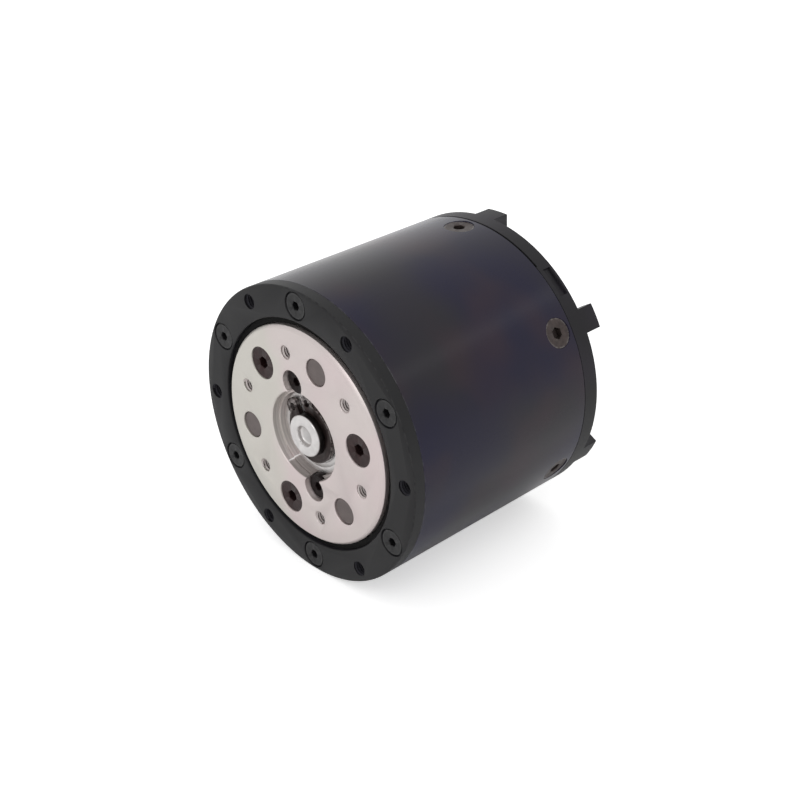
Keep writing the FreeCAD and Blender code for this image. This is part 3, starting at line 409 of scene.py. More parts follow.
@finish
def flange_finish():
    """Lapped and clear anodised aluminium: satin, with faint warm and greenish patches.

    The recess is turned more coarsely. A painted highlight crosses its ledge as a bright radial
    line, with painted shade in the sector past it.
    """
    skin, c, s = Finish("flange_clear_anodised"), colours(), sizes()
    face, painted_highlight_white = front_of("output_flange"), (0.95, 0.93, 0.92)
    warm = skin.grain(13 * MM, 1.0).step(0.45, 0.62)
    green = skin.grain(11 * MM, 1.0, place=skin.node("ShaderNodeMapping", inputs={
        "Vector": skin.place, "Location": (0.02, 0.0, 0.05)}))
    # The greenish tone also grows steadily towards -X, so that part of the face is greener and
    # darker.
    green = (green * 0.5 + skin.x.step(2 * MM, -18 * MM) * 0.5).step(0.38, 0.56)
    base = skin.mix(warm, c.flange, c.flange_warm)
    base = skin.mix(green * 0.7, base, c.flange_green)

    # Painted shade: holes on the output circle darken below the face.
    hole_painted_shade = (skin.y - face).step(0.35 * MM, 1.3 * MM) * abs(
        skin.radius - s.output_pitch).step(1.8 * MM, 1.5 * MM)
    base = skin.mix(hole_painted_shade * 0.6, base, dark(c.flange, 0.12))

    recess = (skin.y - face).step(0.15 * MM, 0.4 * MM) * skin.radius.step(
        s.recess_radius + 0.2 * MM, s.recess_radius - 0.1 * MM)
    streaks = skin.lines(skin.radius + skin.y, 0.62 * MM, 1.2) * recess
    base = skin.mix(streaks * 0.3, base, dark(c.flange, 0.45))
    below = skin.z.step(0, -1 * MM)
    past = (skin.z * math.cos(s.highlight_turn) - skin.x * math.sin(s.highlight_turn)) * below
    # Painted shade: the ledge past the bright line is darker, in the lower sector.
    base = skin.mix(past.step(0, 0.3 * MM) * recess * 0.5, base, dark(c.flange_green, 0.35))
    # Painted highlight: a narrow bright radial line across the recess's ledge.
    mark = past.step(-0.35 * MM, -0.15 * MM) * past.step(0.05 * MM, -0.05 * MM)
    mark = mark * recess * skin.z.step(-1 * MM, -2 * MM)
    # Painted highlight: the flange's outer front edge is lightened to near white all round.
    edge = skin.rim(radius_of("output_flange"), face, 0.3 * MM)
    base = skin.mix(mark, base, painted_highlight_white)
    base = skin.mix(edge * 0.9, base, painted_highlight_white)

    frost = skin.grain(0.10 * MM, 2.0)
    facing = skin.lines(skin.radius, 0.12 * MM, 3.0)
    smudge = skin.grain(5 * MM, 3.0)
    return skin.done(
        Base_Color=base, Metallic=0.92,
        Roughness=0.42 + (smudge - 0.5) * 0.14 + (frost - 0.5) * 0.08 + recess * 0.12,
        Normal=skin.bump(frost * 0.75 + facing * (recess * 1.5 + 0.25), 0.006 * MM, 0.6))


@finish
def turned_steel(name, tint, rough, pitch, painted_shade_from=None):
    """Bright turned or ground steel with concentric lines about each piece's own axis.

    The last argument gives the radius and height from which a shaft's side is painted near black
    as shade; painted shade also darkens its centre hole.
    """
    skin = Finish(name)
    own_x, own_y, own_z = skin.parts(skin.local())
    reach = (own_x * own_x + own_z * own_z) ** 0.5
    rings = skin.lines(reach + own_y, pitch, 1.5)
    film = skin.grain(1.6 * MM, 3.0)
    base = skin.mix(film.step(0.35, 0.7), dark(tint, 0.86), tint)
    if painted_shade_from:
        reach_from, height_from = painted_shade_from
        # Painted shade: the shaft's side turns near black.
        side = reach.step(reach_from, reach_from + 0.15 * MM) * own_y.step(
            height_from, height_from + 0.25 * MM)
        base = skin.mix(side * 0.9, base, (0.012, 0.009, 0.009))
        # Painted shade in the centre hole.
        bore = reach.step(1.9 * MM, 1.4 * MM) * own_y.step(height_from, height_from + 0.9 * MM)
        base = skin.mix(bore * 0.35, base, dark(tint, 0.3))
    fine = skin.grain(0.09 * MM, 1.5)
    return skin.done(
        Base_Color=base, Metallic=1.0,
        Roughness=rough + (film - 0.5) * 0.2 + (fine - 0.5) * 0.1,
        Normal=skin.bump(rings * 0.6 + fine * 0.4, 0.005 * MM, 0.6))


@finish
def oxide_steel(name, tint, wear_and_glint_tint, rough, head, metallic=0.5, sheen=0.35,
                ring_pitch=0.11 * MM):
    """Oxide-blacked screws: forged skin, with rubbed metal round the head's rim."""
    skin = Finish(name)
    own_x, _, own_z = skin.parts(skin.local())
    reach = (own_x * own_x + own_z * own_z) ** 0.5
    film = skin.grain(0.9 * MM, 3.0)
    base = skin.mix(film.step(0.3, 0.7), dark(tint, 0.75), dark(tint, 1.25))
    # Lighter patches round the rim: rubbed metal on the screws, painted glints on the circlip's
    # lugs.
    rim = reach.step(head - 0.45 * MM, head) * skin.grain(0.5 * MM).step(0.35, 0.6)
    base = skin.mix(rim * 0.55, base, wear_and_glint_tint)
    fine = skin.grain(0.08 * MM, 2.0)
    rings = skin.lines(reach, ring_pitch, 1.0)
    base = skin.mix(rings * 0.4, base, dark(tint, 0.3))
    return skin.done(
        Base_Color=base, Metallic=metallic, Specular_IOR_Level=sheen,
        Roughness=rough + (film - 0.5) * 0.16 + (fine - 0.5) * 0.1 - rim * 0.1,
        Normal=skin.bump(fine * 0.7 + rings * 0.3, 0.008 * MM, 0.6))


@finish
def moulded(name, tint, rough, grain_size, sheen=0.5):
    """Moulded rubber or plastic with a fine skin and faint flow marks."""
    skin = Finish(name)
    flow = skin.grain(4 * MM, 3.0, stretch=(1, 0.4, 1))
    texture = skin.grain(grain_size, 2.0)
    base = skin.mix(flow.step(0.3, 0.7), dark(tint, 0.85), dark(tint, 1.15))
    return skin.done(
        Base_Color=base, Roughness=rough + (flow - 0.5) * 0.12 + (texture - 0.5) * 0.1,
        Normal=skin.bump(texture, 0.012 * MM, 0.5), Specular_IOR_Level=sheen)


@finish
def machined(name, tint, rough, pitch):
    """Plain machined metal with tool lines along and round the axis."""
    skin = Finish(name)
    tool = skin.lines(skin.radius + skin.y, pitch, 2.0)
    film = skin.grain(2.5 * MM, 3.0)
    base = skin.mix(film.step(0.3, 0.7), dark(tint, 0.88), tint)
    return skin.done(
        Base_Color=base, Metallic=1.0, Roughness=rough + (film - 0.5) * 0.18,
        Normal=skin.bump(tool, 0.005 * MM, 0.6))


@finish
def layered(name, tint, gap_tint, pitch, metallic):
    """Stacked laminations or wound wire: dark lines between layers along the axis."""
    skin = Finish(name)
    layer = skin.lines(skin.y, pitch, 0.6)
    film = skin.grain(0.8 * MM, 2.0)
    base = skin.mix(layer.step(0.05, 0.45), gap_tint, tint)
    return skin.done(
        Base_Color=skin.mix(film * 0.4, base, dark(tint, 0.7)), Metallic=metallic,
        Roughness=0.38 + (film - 0.5) * 0.2, Normal=skin.bump(layer, 0.03 * MM, 0.7))


@finish
def board_laminate():
    """Solder-masked board: fibre weave under the mask, and tracks that lift it slightly."""
    skin = Finish("board_solder_mask")
    weave = skin.lines(skin.x, 0.35 * MM) * skin.lines(skin.z, 0.35 * MM)
    track = skin.lines(skin.x + skin.grain(6 * MM) * (3 * MM), 1.6 * MM).step(0.72, 0.8)
    base = skin.mix(track * 0.6, (0.008, 0.028, 0.016), (0.016, 0.07, 0.035))
    return skin.done(
        Base_Color=base, Roughness=0.32 + weave * 0.08, Coat_Weight=0.3,
        Normal=skin.bump(weave * 0.2 + track * 0.8, 0.03 * MM, 0.5))


# ---------------------------------------------------------------- modelling
def about_axis(angle):
    """The turn that carries +X towards +Z by an angle."""
    return Matrix.Rotation(-angle, 3, AXIS)


def chain(bm, profile, closed):
    """A line of vertices at (radius, height), as geometry to spin."""
    verts = [bm.verts.new((radius, height, 0)) for radius, height in profile]
    pairs = list(zip(verts, verts[1:] + verts[:1])) if closed else list(zip(verts, verts[1:]))
    return verts + [bm.edges.new(pair) for pair in pairs]


def spun(profile, steps=96, closed=False):
    """A turned shape about the axis."""
    bm = bmesh.new()
    bmesh.ops.spin(bm, geom=chain(bm, profile, closed), cent=(0, 0, 0), axis=AXIS,
                   dvec=(0, 0, 0), angle=FULL, steps=steps, use_merge=True,
                   use_normal_flip=False, use_duplicate=False)
    bmesh.ops.remove_doubles(bm, verts=bm.verts, dist=WELD)
    return bm


def mark_turned(bm):
    """Store where each point lies about its piece's own axis, for the turning lines."""
    layer = bm.verts.layers.float_vector.new(TURNED)
    for vert in bm.verts:
        vert[layer] = vert.co


def hexagonal(verts, across_flats):
    """Move points round the axis onto a hexagon with flats towards +X."""
    sector = math.pi / 3
    for vert in verts:
        lean = (math.atan2(vert.co.z, vert.co.x) + sector / 2) % sector - sector / 2
        reach = across_flats / 2 / math.cos(lean)
        share = reach / math.hypot(vert.co.x, vert.co.z)
        vert.co.x *= share
        vert.co.z *= share


def repeat_round(bm, count):
    """Copy everything evenly round the axis."""
    first = [*bm.verts, *bm.edges, *bm.faces]
    for number in range(1, count):
        copy = bmesh.ops.duplicate(bm, geom=first)["geom"]
        verts = [item for item in copy if isinstance(item, bmesh.types.BMVert)]
        bmesh.ops.rotate(bm, verts=verts, cent=(0, 0, 0), matrix=about_axis(FULL * number / count))


def place_on_circle(bm, pitch, angle, count):
    """Move a shape made on the axis to a pitch circle, and repeat it there."""
    bmesh.ops.translate(bm, verts=bm.verts, vec=(pitch, 0, 0))
    bmesh.ops.rotate(bm, verts=bm.verts, cent=(0, 0, 0), matrix=about_axis(angle))
    repeat_round(bm, count)


def cad_copy(node):
    """A node's solid with its triangles joined into one skin of flat and curved faces."""
    bm = bmesh.new()
    bm.from_mesh(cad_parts[node].data)
    bmesh.ops.remove_doubles(bm, verts=bm.verts, dist=WELD)
    bmesh.ops.dissolve_limit(bm, angle_limit=math.radians(0.4), verts=bm.verts, edges=bm.edges,
                             use_dissolve_boundaries=False, delimit=set())
    return bm


def break_edges(bm, width, segments=1):
    """Bevel every hard edge."""
    hard = [edge for edge in bm.edges if edge.is_manifold and edge.calc_face_angle(0) > SHARP]
    bmesh.ops.bevel(bm, geom=hard, offset=width, offset_type="OFFSET", affect="EDGES",
                    segments=segments, profile=0.5, clamp_overlap=True, material=-1)


def add_piece(name, bm, body, slot, material, *nodes):
    """Finish a mesh as a piece that rides on a body and stands for CAD nodes."""
    bmesh.ops.recalc_face_normals(bm, faces=bm.faces)
    mesh = bpy.data.meshes.new(name)
    bm.to_mesh(mesh)
    bm.free()
    mesh.shade_smooth()
    mesh.set_sharp_from_angle(angle=SHARP)
    mesh.materials.append(material)
    piece = bpy.data.objects.new(name, mesh)
    bpy.context.scene.collection.objects.link(piece)
    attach(piece, body)
    if nodes:
        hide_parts(*nodes)
    return piece


def true_round(piece):
    """Shade the skin at the piece's outer radius as an exact cylinder."""
    mesh = piece.data
    radius = max(vert.co.x for vert in mesh.vertices)
    normals = [corner.vector.copy() for corner in mesh.corner_normals]
    for face in mesh.polygons:
        for corner in face.loop_indices:
            place = mesh.vertices[mesh.loops[corner].vertex_index].co
            outward = Vector((place.x, 0, place.z)) / radius
            if outward.length > 1 - 1e-4 and face.normal.dot(outward) > 0.995:
                normals[corner] = outward.normalized()
    mesh.normals_split_custom_set(normals)


def coat_nodes(material, *nodes):
    """Give CAD nodes that stay in view or inside a better finish."""
    for node in nodes:
        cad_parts[node].material_slots[0].material = material


def screw(profile, top, socket, depth, mouth_gap=0.07 * MM):
    """A turned screw with its head's face at height `top`, looking to -Y, and a hex socket."""
    mouth = socket / math.sqrt(3) + mouth_gap
    floor = top + depth
    inside = socket / 2
    skin = [*profile, (mouth, top), (inside, top + mouth_gap * 1.5), (inside, floor),
            (inside * 0.9, floor), (0, floor + inside * 0.35)]
    bm = spun(skin, 48)
    hexagonal([vert for vert in bm.verts
               if vert.co.y < floor + WELD
               and abs(math.hypot(vert.co.x, vert.co.z) - inside) < WELD], socket)
    mark_turned(bm)
    return bm


def countersunk(node_top, head, shank, reach, land):
    """The outline of a flat-head screw from its tip to the rim of its face."""
    cone_end = node_top + land + head - shank
    tip = node_top + reach
    nick = 0.05 * MM
    return [(0, tip), (shank - 0.3 * MM, tip), (shank, tip - 0.3 * MM), (shank, cone_end),
            (head, node_top + land), (head, node_top + nick), (head - nick, node_top)]


def thread(start, end, minor, major):
    """A helical ridge between two radii of a threaded hole, from one height to the other."""
    pitch = sizes().thread_pitch
    flank, crest = pitch * 0.44, pitch * 0.07
    steps_each = 20
    turns = (end - start) / pitch
    bm = bmesh.new()
    section = [(major + 0.02 * MM, start - flank), (minor, start - crest),
               (minor, start + crest), (major + 0.02 * MM, start + flank)]
    geom = chain(bm, section, True)
    first = bm.faces.new(geom[:4])
    bmesh.ops.spin(bm, geom=[*geom, first], cent=(0, 0, 0), axis=AXIS,
                   dvec=AXIS * (pitch / steps_each), angle=FULL * turns,
                   steps=round(steps_each * turns), use_merge=False,
                   use_normal_flip=False, use_duplicate=False)
    return bm


def widen_holes(bm, pitch, angle, count, narrow, wide):
    """Open plain holes on a pitch circle from one radius to another."""
    for number in range(count):
        centre = about_axis(angle + FULL * number / count) @ Vector((pitch, 0, 0))
        for vert in bm.verts:
            away = Vector((vert.co.x - centre.x, 0, vert.co.z - centre.z))
            if abs(away.length - narrow) < 0.02 * MM:
                away *= wide / away.length
                vert.co.x, vert.co.z = centre.x + away.x, centre.z + away.z


# ---------------------------------------------------------------- operators
class ACTUATOR_OT_mounting_ring(bpy.types.Operator):
    """Front mounting ring with its threaded holes."""

    bl_idname = "actuator.mounting_ring"
    bl_label = "Mounting Ring"

    def execute(self, context):
        s = sizes()
        coat = ring_finish()
        ring = cad_copy("front_ring")
        widen_holes(ring, s.mount_pitch, 0, s.side_count, s.thread_minor, s.thread_major)
        break_edges(ring, s.edge_break)
        true_round(add_piece("mounting_ring", ring, "housing", "black_anodised", coat,
                             "front_ring"))
        threads = thread(front_of("front_ring") + 0.35 * MM, rear_of("front_ring") + 5 * MM,
                         s.thread_minor, s.thread_major)
        place_on_circle(threads, s.mount_pitch, 0, s.side_count)
        add_piece("mounting_threads", threads, "housing", "black_anodised", bore_finish())
        return {"FINISHED"}


class ACTUATOR_OT_ring_screws(bpy.types.Operator):
    """Six countersunk screws of the mounting ring."""

    bl_idname = "actuator.ring_screws"
    bl_label = "Ring Screws"

    def execute(self, context):
        s, c = sizes(), colours()
        top = front_of("front_ring_screws")
        outline = countersunk(top, s.ring_head, 1.0 * MM, 7.6 * MM, 0.05 * MM)
        bm = screw(outline, top, s.small_socket, 1.1 * MM)
        place_on_circle(bm, s.ring_screw_pitch, s.side_turn, s.side_count)
        coat = oxide_steel("ring_screw_oxide", dark(c.ring, 1.1), (0.06, 0.06, 0.06),
                           rough=0.45, head=s.ring_head, metallic=0.0, sheen=0.3)
        add_piece("mounting_ring_screws", bm, "housing", "screw_steel", coat,
                  "front_ring_screws")
        return {"FINISHED"}


class ACTUATOR_OT_main_shell(bpy.types.Operator):
    """Black tube with six radial countersinks."""

    bl_idname = "actuator.main_shell"
    bl_label = "Main Shell"

    def execute(self, context):
        s = sizes()
        shell = cad_copy("main_shell")
        break_edges(shell, s.edge_break / 2)
        true_round(add_piece("shell_tube", shell, "housing", "black_anodised", shell_finish(),
                             "main_shell"))
        return {"FINISHED"}


class ACTUATOR_OT_side_screws(bpy.types.Operator):
    """Six radial screws that hold the rear cap."""

    bl_idname = "actuator.side_screws"
    bl_label = "Side Screws"

    def execute(self, context):
        s, c = sizes(), colours()
        top = -s.side_screw_face
        outline = countersunk(top, s.side_head, 1.45 * MM, 3.98 * MM, 0.02 * MM)
        bm = screw(outline, top, s.large_socket, 1.3 * MM)
        bmesh.ops.rotate(bm, verts=bm.verts, cent=(0, 0, 0),
                         matrix=Matrix.Rotation(math.pi / 2, 3, "Z"))
        bmesh.ops.translate(bm, verts=bm.verts, vec=(0, s.side_screw_place, 0))
        place_on_circle(bm, 0, s.side_turn, s.side_count)
        coat = oxide_steel("side_screw_oxide", tuple(c.side_screw), (0.30, 0.28, 0.27),
                           rough=0.42, head=s.side_head)
        add_piece("side_screws", bm, "housing", "side_screw_steel", coat, "shell_screws")
        return {"FINISHED"}


class ACTUATOR_OT_rear_cap(bpy.types.Operator):
    """Rear cap with its rim, six tabs and connector windows."""

    bl_idname = "actuator.rear_cap"
    bl_label = "Rear Cap"

    def execute(self, context):
        s = sizes()
        cap = cad_copy("rear_cap")
        break_edges(cap, s.edge_break)
        true_round(add_piece("rear_cover", cap, "housing", "black_anodised", cap_finish(),
                             "rear_cap"))
        return {"FINISHED"}


class ACTUATOR_OT_seals(bpy.types.Operator):
    """Rubber lip round the flange and the flat gasket in the rear seam."""

    bl_idname = "actuator.seals"
    bl_label = "Seals"

    def execute(self, context):
        c = colours()
        rubber = moulded("nitrile_rubber", tuple(c.rubber), rough=0.7,
                         grain_size=0.15 * MM, sheen=0.12)
        inner, outer = radius_of("output_flange") + 0.1 * MM, radius_of("output_seal")
        front, rear = front_of("output_seal"), rear_of("output_seal")
        lip = spun([
            (inner, front + 0.22 * MM), (inner + 0.06 * MM, front + 0.12 * MM),
            (inner + 0.2 * MM, front + 0.1 * MM), (outer - 0.3 * MM, front + 0.14 * MM),
            (outer - 0.08 * MM, front + 0.02 * MM), (outer, front + 0.06 * MM),
            (outer, rear), (inner + 0.4 * MM, rear), (inner + 0.4 * MM, rear - 0.8 * MM),
            (inner, rear - 1.0 * MM)], 128, closed=True)
        add_piece("flange_seal", lip, "housing", "seal_rubber", rubber, "output_seal")
        coat_nodes(rubber, "rear_gasket")
        return {"FINISHED"}


class ACTUATOR_OT_output_flange(bpy.types.Operator):
    """Silver flange with its recess, lobes and threaded holes."""

    bl_idname = "actuator.output_flange"
    bl_label = "Output Flange"

    def execute(self, context):
        s, c = sizes(), colours()
        flange = cad_copy("output_flange")
        break_edges(flange, s.edge_break)
        add_piece("flange_plate", flange, "output", "silver_aluminium", flange_finish(),
                  "output_flange")
        face = front_of("output_flange")
        threads = thread(face + 0.3 * MM, face + 6.2 * MM, s.thread_minor - 0.22 * MM,
                         s.thread_minor)
        place_on_circle(threads, s.output_pitch, s.output_turn, 2 * s.carrier_count)
        # The threads take a darker copy of the flange colour, as painted shade inside the holes.
        add_piece("flange_threads", threads, "output", "silver_aluminium",
                  machined("tapped_aluminium", dark(c.flange, 0.8), rough=0.35,
                           pitch=0.1 * MM))
        return {"FINISHED"}


class ACTUATOR_OT_carrier_screws(bpy.types.Operator):
    """Three black countersunk screws of the planet carrier."""

    bl_idname = "actuator.carrier_screws"
    bl_label = "Carrier Screws"

    def execute(self, context):
        s, c = sizes(), colours()
        top = front_of("carrier_screws")
        outline = countersunk(top, s.carrier_head, 1.45 * MM, 16.0 * MM, 0.12 * MM)
        bm = screw(outline, top, s.large_socket, 1.3 * MM)
        place_on_circle(bm, s.carrier_pitch, s.screw_turn, s.carrier_count)
        coat = oxide_steel("carrier_screw_oxide", tuple(c.black_screw), (0.16, 0.14, 0.135),
                           rough=0.42, head=s.carrier_head)
        add_piece("carrier_head_screws", bm, "output", "screw_steel", coat, "carrier_screws")
        return {"FINISHED"}


class ACTUATOR_OT_planet_pins(bpy.types.Operator):
    """Three ground pins flush with the flange."""

    bl_idname = "actuator.planet_pins"
    bl_label = "Planet Pins"

    def execute(self, context):
        s, c = sizes(), colours()
        front, rear = front_of("planet_pins"), rear_of("planet_pins")
        radius, nick = s.pin_radius, 0.15 * MM
        pin = spun([(0, front), (radius - nick, front), (radius, front + nick),
                    (radius, rear - nick), (radius - nick, rear), (0, rear)], 64)
        mark_turned(pin)
        place_on_circle(pin, s.carrier_pitch, s.pin_turn, s.carrier_count)
        coat = turned_steel("pin_ground_steel", tuple(c.pin), rough=0.36, pitch=0.09 * MM)
        add_piece("carrier_pins", pin, "output", "machined_aluminium", coat, "planet_pins")
        return {"FINISHED"}


class ACTUATOR_OT_hub_bearing(bpy.types.Operator):
    """Front bearing: its rings, shield and the two screws that retain it."""

    bl_idname = "actuator.hub_bearing"
    bl_label = "Hub Bearing"

    def execute(self, context):
        s, c = sizes(), colours()
        bright = turned_steel("bearing_ground_steel", tuple(c.bright_steel), rough=0.5,
                              pitch=0.07 * MM)
        for node, body in (("hub_bearing_outer_ring", "output"),
                           ("hub_bearing_inner_ring", "rotor")):
            ring = cad_copy(node)
            break_edges(ring, 2 * s.edge_break, 2)
            mark_turned(ring)
            add_piece(f"{node}_ground", ring, body, "bearing_steel", bright, node)
        front, rear = front_of("hub_bearing_shield"), rear_of("hub_bearing_shield")
        outer = radius_of("hub_bearing_shield")
        inner = outer - 1.43 * MM
        shield = spun([
            (inner, front + 0.06 * MM), (inner + 0.5 * MM, front + 0.06 * MM),
            (inner + 0.6 * MM, front), (outer - 0.25 * MM, front), (outer, front + 0.1 * MM),
            (outer, rear), (inner, rear)], 128, closed=True)
        mark_turned(shield)
        add_piece("hub_bearing_cover", shield, "output", "bearing_steel", bright,
                  "hub_bearing_shield")
        top = front_of("bearing_retaining_screws")
        head, seat = s.lobe_head, top + 1.6 * MM
        outline = [(0, top + 6.0 * MM), (1.0 * MM, top + 6.0 * MM), (1.0 * MM, seat),
                   (head, seat), (head, top + 0.15 * MM), (head - 0.15 * MM, top)]
        bm = screw(outline, top, s.small_socket, 0.7 * MM)
        place_on_circle(bm, s.lobe_pitch, s.lobe_turn, 2)
        # Black oxide made darker than the carrier screws' as painted shade deep in the lobes.
        coat = oxide_steel("retaining_screw_oxide", tuple(c.lobe_screw), (0.04, 0.03, 0.03),
                           rough=0.4, head=head, metallic=0.0, sheen=0.12)
        add_piece("bearing_cap_screws", bm, "output", "screw_steel", coat,
                  "bearing_retaining_screws")
        return {"FINISHED"}


class ACTUATOR_OT_shaft(bpy.types.Operator):
    """Motor shaft with its centre hole, and the circlip on it."""

    bl_idname = "actuator.shaft"
    bl_label = "Shaft"

    def execute(self, context):
        c = colours()
        shaft = cad_copy("rotor_shaft")
        break_edges(shaft, 0.3 * MM, 2)
        mark_turned(shaft)
        # Radius and height from which the shaft's side gets painted shade.
        side = (radius_of("rotor_shaft") - 0.2 * MM, front_of("rotor_shaft") + 0.2 * MM)
        bright = turned_steel("shaft_turned_steel", dark(c.bright_steel, 0.93), rough=0.33,
                              pitch=0.10 * MM, painted_shade_from=side)
        add_piece("motor_shaft", shaft, "rotor", "ground_steel", bright, "rotor_shaft")
        clip = cad_copy("circlip")
        break_edges(clip, 0.09 * MM, 2)
        mark_turned(clip)
        # The light rim tint paints glints on the circlip's lugs.
        coat = oxide_steel("circlip_phosphate", tuple(c.spring), (0.42, 0.38, 0.37),
                           rough=0.32, head=5.8 * MM, sheen=0.2, ring_pitch=0.75 * MM)
        add_piece("shaft_circlip", clip, "rotor", "spring_steel", coat, "circlip")
        return {"FINISHED"}


class ACTUATOR_OT_connectors(bpy.types.Operator):
    """Sockets and contacts that look out of the rear cap."""

    bl_idname = "actuator.connectors"
    bl_label = "Connectors"

    def execute(self, context):
        c = colours()
        for node, name, slot, tint in (
                ("power_connector", "power_socket", "power_plastic", c.power_plastic),
                ("signal_connectors", "signal_sockets", "signal_plastic", c.signal_plastic)):
            shell = cad_copy(node)
            break_edges(shell, 0.15 * MM, 2)
            coat = moulded(name, tuple(tint), rough=0.45, grain_size=0.2 * MM)
            add_piece(name, shell, "housing", slot, coat, node)
        for node, name in (("power_contacts", "power_blades"),
                           ("signal_contacts", "signal_pins")):
            pins = cad_copy(node)
            break_edges(pins, 0.1 * MM, 2)
            add_piece(name, pins, "housing", "brass_pillar",
                      machined("gold_plate", tuple(c.gold), 0.25, 0.2 * MM), node)
        return {"FINISHED"}


class ACTUATOR_OT_inner_pieces(bpy.types.Operator):
    """Finishes of the gears, bearings, motor and electronics inside."""

    bl_idname = "actuator.inner_pieces"
    bl_label = "Inner Pieces"

    def execute(self, context):
        coats = {
            machined("gear_steel", (0.46, 0.45, 0.44), 0.34, 0.15 * MM): [
                "ring_gear", "sun_gear", "planet_gear_1", "planet_gear_2", "planet_gear_3"],
            machined("ground_bearing_steel", (0.66, 0.65, 0.64), 0.22, 0.08 * MM): [
                "output_bearing_outer_ring", "output_bearing_inner_ring",
                "rear_bearing_outer_ring", "rear_bearing_inner_ring", "output_bearing_balls",
                "hub_bearing_balls", "rear_bearing_balls"],
            machined("machined_aluminium", (0.70, 0.70, 0.71), 0.38, 0.20 * MM): [
                "stator_spacer", "motor_end_plate", "rotor_hub", "carrier_plate",
                "front_shaft_sleeve", "rear_shaft_sleeve"],
            machined("bush_bronze", (0.62, 0.40, 0.20), 0.36, 0.12 * MM): [
                "planet_bush_1", "planet_bush_2", "planet_bush_3"],
            machined("brass", (0.72, 0.52, 0.25), 0.3, 0.15 * MM): ["board_pillars"],
            machined("nickel_magnet", (0.60, 0.58, 0.55), 0.26, 0.3 * MM): [
                "rotor_magnets", "encoder_magnet"],
            machined("board_screw_steel", (0.30, 0.29, 0.29), 0.36, 0.1 * MM): ["board_screws"],
            layered("core_laminations", (0.30, 0.31, 0.34), (0.05, 0.05, 0.06), 0.35 * MM,
                    0.8): ["stator_core"],
            layered("enamelled_copper", (0.62, 0.22, 0.08), (0.12, 0.03, 0.01), 0.45 * MM,
                    0.9): ["stator_coils", "phase_leads"],
            moulded("cage_nylon", (0.30, 0.24, 0.15), 0.5, 0.2 * MM): [
                "coil_formers", "output_bearing_cage", "hub_bearing_cage",
                "rear_bearing_cage"],
            moulded("chip_epoxy", (0.018, 0.018, 0.019), 0.55, 0.08 * MM): [
                "mosfets", "capacitors", "encoder_chip", "controller_chip"],
            board_laminate(): ["driver_board"],
        }
        for material, nodes in coats.items():
            coat_nodes(material, *nodes)
        return {"FINISHED"}


def area_light(name, place, width, height, power):
    """A soft rectangular light that looks at the actuator."""
    lamp = bpy.data.lights.new(name, "AREA")
    lamp.shape = "RECTANGLE"
    lamp.size, lamp.size_y = width, height
    lamp.energy = power
    holder = bpy.data.objects.new(name, lamp)
    holder.location = place
    towards = Vector((0, 0.02, 0)) - Vector(place)
    holder.rotation_euler = towards.to_track_quat("-Z", "Y").to_euler()
    bpy.context.scene.collection.objects.link(holder)


def white_surround(strength):
    """A world that lights at a plain level, and looks white to the camera and in metal."""
    world = bpy.data.worlds.new("surround")
    bpy.context.scene.world = world
    world.use_nodes = True
    tree = world.node_tree
    tree.nodes.clear()
    path = tree.nodes.new("ShaderNodeLightPath")
    seen = tree.nodes.new("ShaderNodeMath")
    seen.operation = "MAXIMUM"
    tree.links.new(path.outputs["Is Camera Ray"], seen.inputs[0])
    tree.links.new(path.outputs["Is Glossy Ray"], seen.inputs[1])
    level = tree.nodes.new("ShaderNodeMapRange")
    tree.links.new(seen.outputs[0], level.inputs["Value"])
    level.inputs["To Min"].default_value = strength
    level.inputs["To Max"].default_value = 1.0
    back = tree.nodes.new("ShaderNodeBackground")
    back.inputs["Color"].default_value = (1, 1, 1, 1)
    tree.links.new(level.outputs[0], back.inputs["Strength"])
    out = tree.nodes.new("ShaderNodeOutputWorld")
    tree.links.new(back.outputs[0], out.inputs["Surface"])


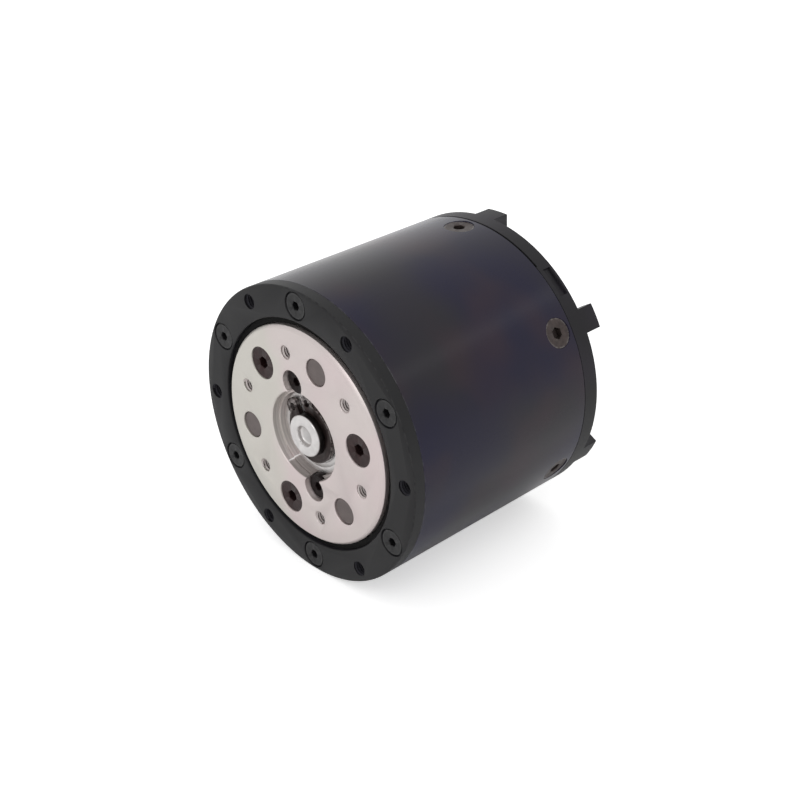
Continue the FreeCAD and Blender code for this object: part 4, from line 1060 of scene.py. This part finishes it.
class ACTUATOR_OT_stage(bpy.types.Operator):
    """Floor, white surround, soft lights and the camera."""

    bl_idname = "actuator.stage"
    bl_label = "Stage"

    def execute(self, context):
        stage = context.scene.actuator_stage
        self.lay_floor()
        white_surround(stage.world)
        area_light("key_light", (0.25, -0.35, 0.45), 0.3, 0.3, stage.key)
        area_light("rim_light", (-0.42, 0.35, 0.25), 0.25, 0.25, stage.rim)
        area_light("strip_light", (0.34, 0.39, 0.36), 0.5, 0.05, stage.strip)
        self.place_camera(stage)
        context.scene.view_settings.view_transform = "Standard"
        return {"FINISHED"}

    def lay_floor(self):
        bm = bmesh.new()
        half_width, gap = 6.0, 0.02 * MM
        bmesh.ops.create_grid(bm, x_segments=1, y_segments=1, size=half_width)
        bmesh.ops.translate(bm, verts=bm.verts, vec=(0, 0, CAD_BOX[0].z - gap))
        mesh = bpy.data.meshes.new("floor")
        bm.to_mesh(mesh)
        bm.free()
        paper = Finish("floor_paper")
        fibre = paper.grain(1.5 * MM, 2.0)
        seen = paper.node("ShaderNodeLightPath", output="Is Camera Ray")
        mirrored = paper.node("ShaderNodeLightPath", output="Is Glossy Ray")
        # Painted shadow: under the object the floor's glow is left out of reflections.
        under = paper.y.step(0, 12 * MM) * abs(paper.x).step(45 * MM, 28 * MM)
        glow = seen * 0.5 + mirrored * (1 - under) * 0.28
        mesh.materials.append(paper.done(
            Base_Color=paper.mix(fibre * 0.3, (0.93, 0.93, 0.93), (0.90, 0.90, 0.90)),
            Roughness=0.9, Specular_IOR_Level=0.1, Emission_Strength=1.0,
            Emission_Color=paper.mix(glow, (0, 0, 0), (1, 1, 1))))
        floor = bpy.data.objects.new("floor", mesh)
        bpy.context.scene.collection.objects.link(floor)

    def place_camera(self, stage):
        camera = bpy.data.cameras.new("camera")
        camera.lens = stage.lens
        camera.sensor_width = 36
        camera.clip_start, camera.clip_end = 0.01, 20
        holder = bpy.data.objects.new("camera", camera)
        across = math.cos(stage.elevation)
        back = Vector((math.sin(stage.azimuth) * across, -math.cos(stage.azimuth) * across,
                       math.sin(stage.elevation)))
        holder.rotation_mode = "QUATERNION"
        holder.location = Vector(stage.aim) + back * stage.distance
        look = (-back).to_track_quat("-Z", "Y")
        holder.rotation_quaternion = look @ Matrix.Rotation(stage.roll, 3, "Z").to_quaternion()
        bpy.context.scene.collection.objects.link(holder)
        bpy.context.scene.camera = holder


BUILD_STEPS = (
    ACTUATOR_OT_mounting_ring, ACTUATOR_OT_ring_screws, ACTUATOR_OT_main_shell,
    ACTUATOR_OT_side_screws, ACTUATOR_OT_rear_cap, ACTUATOR_OT_seals,
    ACTUATOR_OT_output_flange, ACTUATOR_OT_carrier_screws, ACTUATOR_OT_planet_pins,
    ACTUATOR_OT_hub_bearing, ACTUATOR_OT_shaft, ACTUATOR_OT_connectors,
    ACTUATOR_OT_inner_pieces, ACTUATOR_OT_stage,
)


class ACTUATOR_PT_panel(bpy.types.Panel):
    """Lists the building steps with the sizes and colours they use."""

    bl_idname = "ACTUATOR_PT_panel"
    bl_label = "Joint Actuator"
    bl_space_type = "VIEW_3D"
    bl_region_type = "UI"
    bl_category = "Actuator"

    def draw(self, context):
        for step in BUILD_STEPS:
            self.layout.operator(step.bl_idname)
        for name, group in GROUPS.items():
            box = self.layout.box()
            for prop in group.__annotations__:
                box.prop(getattr(context.scene, name), prop)


def register():
    for group in GROUPS.values():
        bpy.utils.register_class(group)
    for name, group in GROUPS.items():
        setattr(bpy.types.Scene, name, PointerProperty(type=group))
    for step in BUILD_STEPS:
        bpy.utils.register_class(step)
    bpy.utils.register_class(ACTUATOR_PT_panel)


def unregister():
    bpy.utils.unregister_class(ACTUATOR_PT_panel)
    for step in reversed(BUILD_STEPS):
        bpy.utils.unregister_class(step)
    for name in GROUPS:
        delattr(bpy.types.Scene, name)
    for group in reversed(GROUPS.values()):
        bpy.utils.unregister_class(group)


def main():
    register()
    for step in BUILD_STEPS:
        group, name = step.bl_idname.split(".")
        getattr(getattr(bpy.ops, group), name)()


if __name__ == "__main__":
    main()
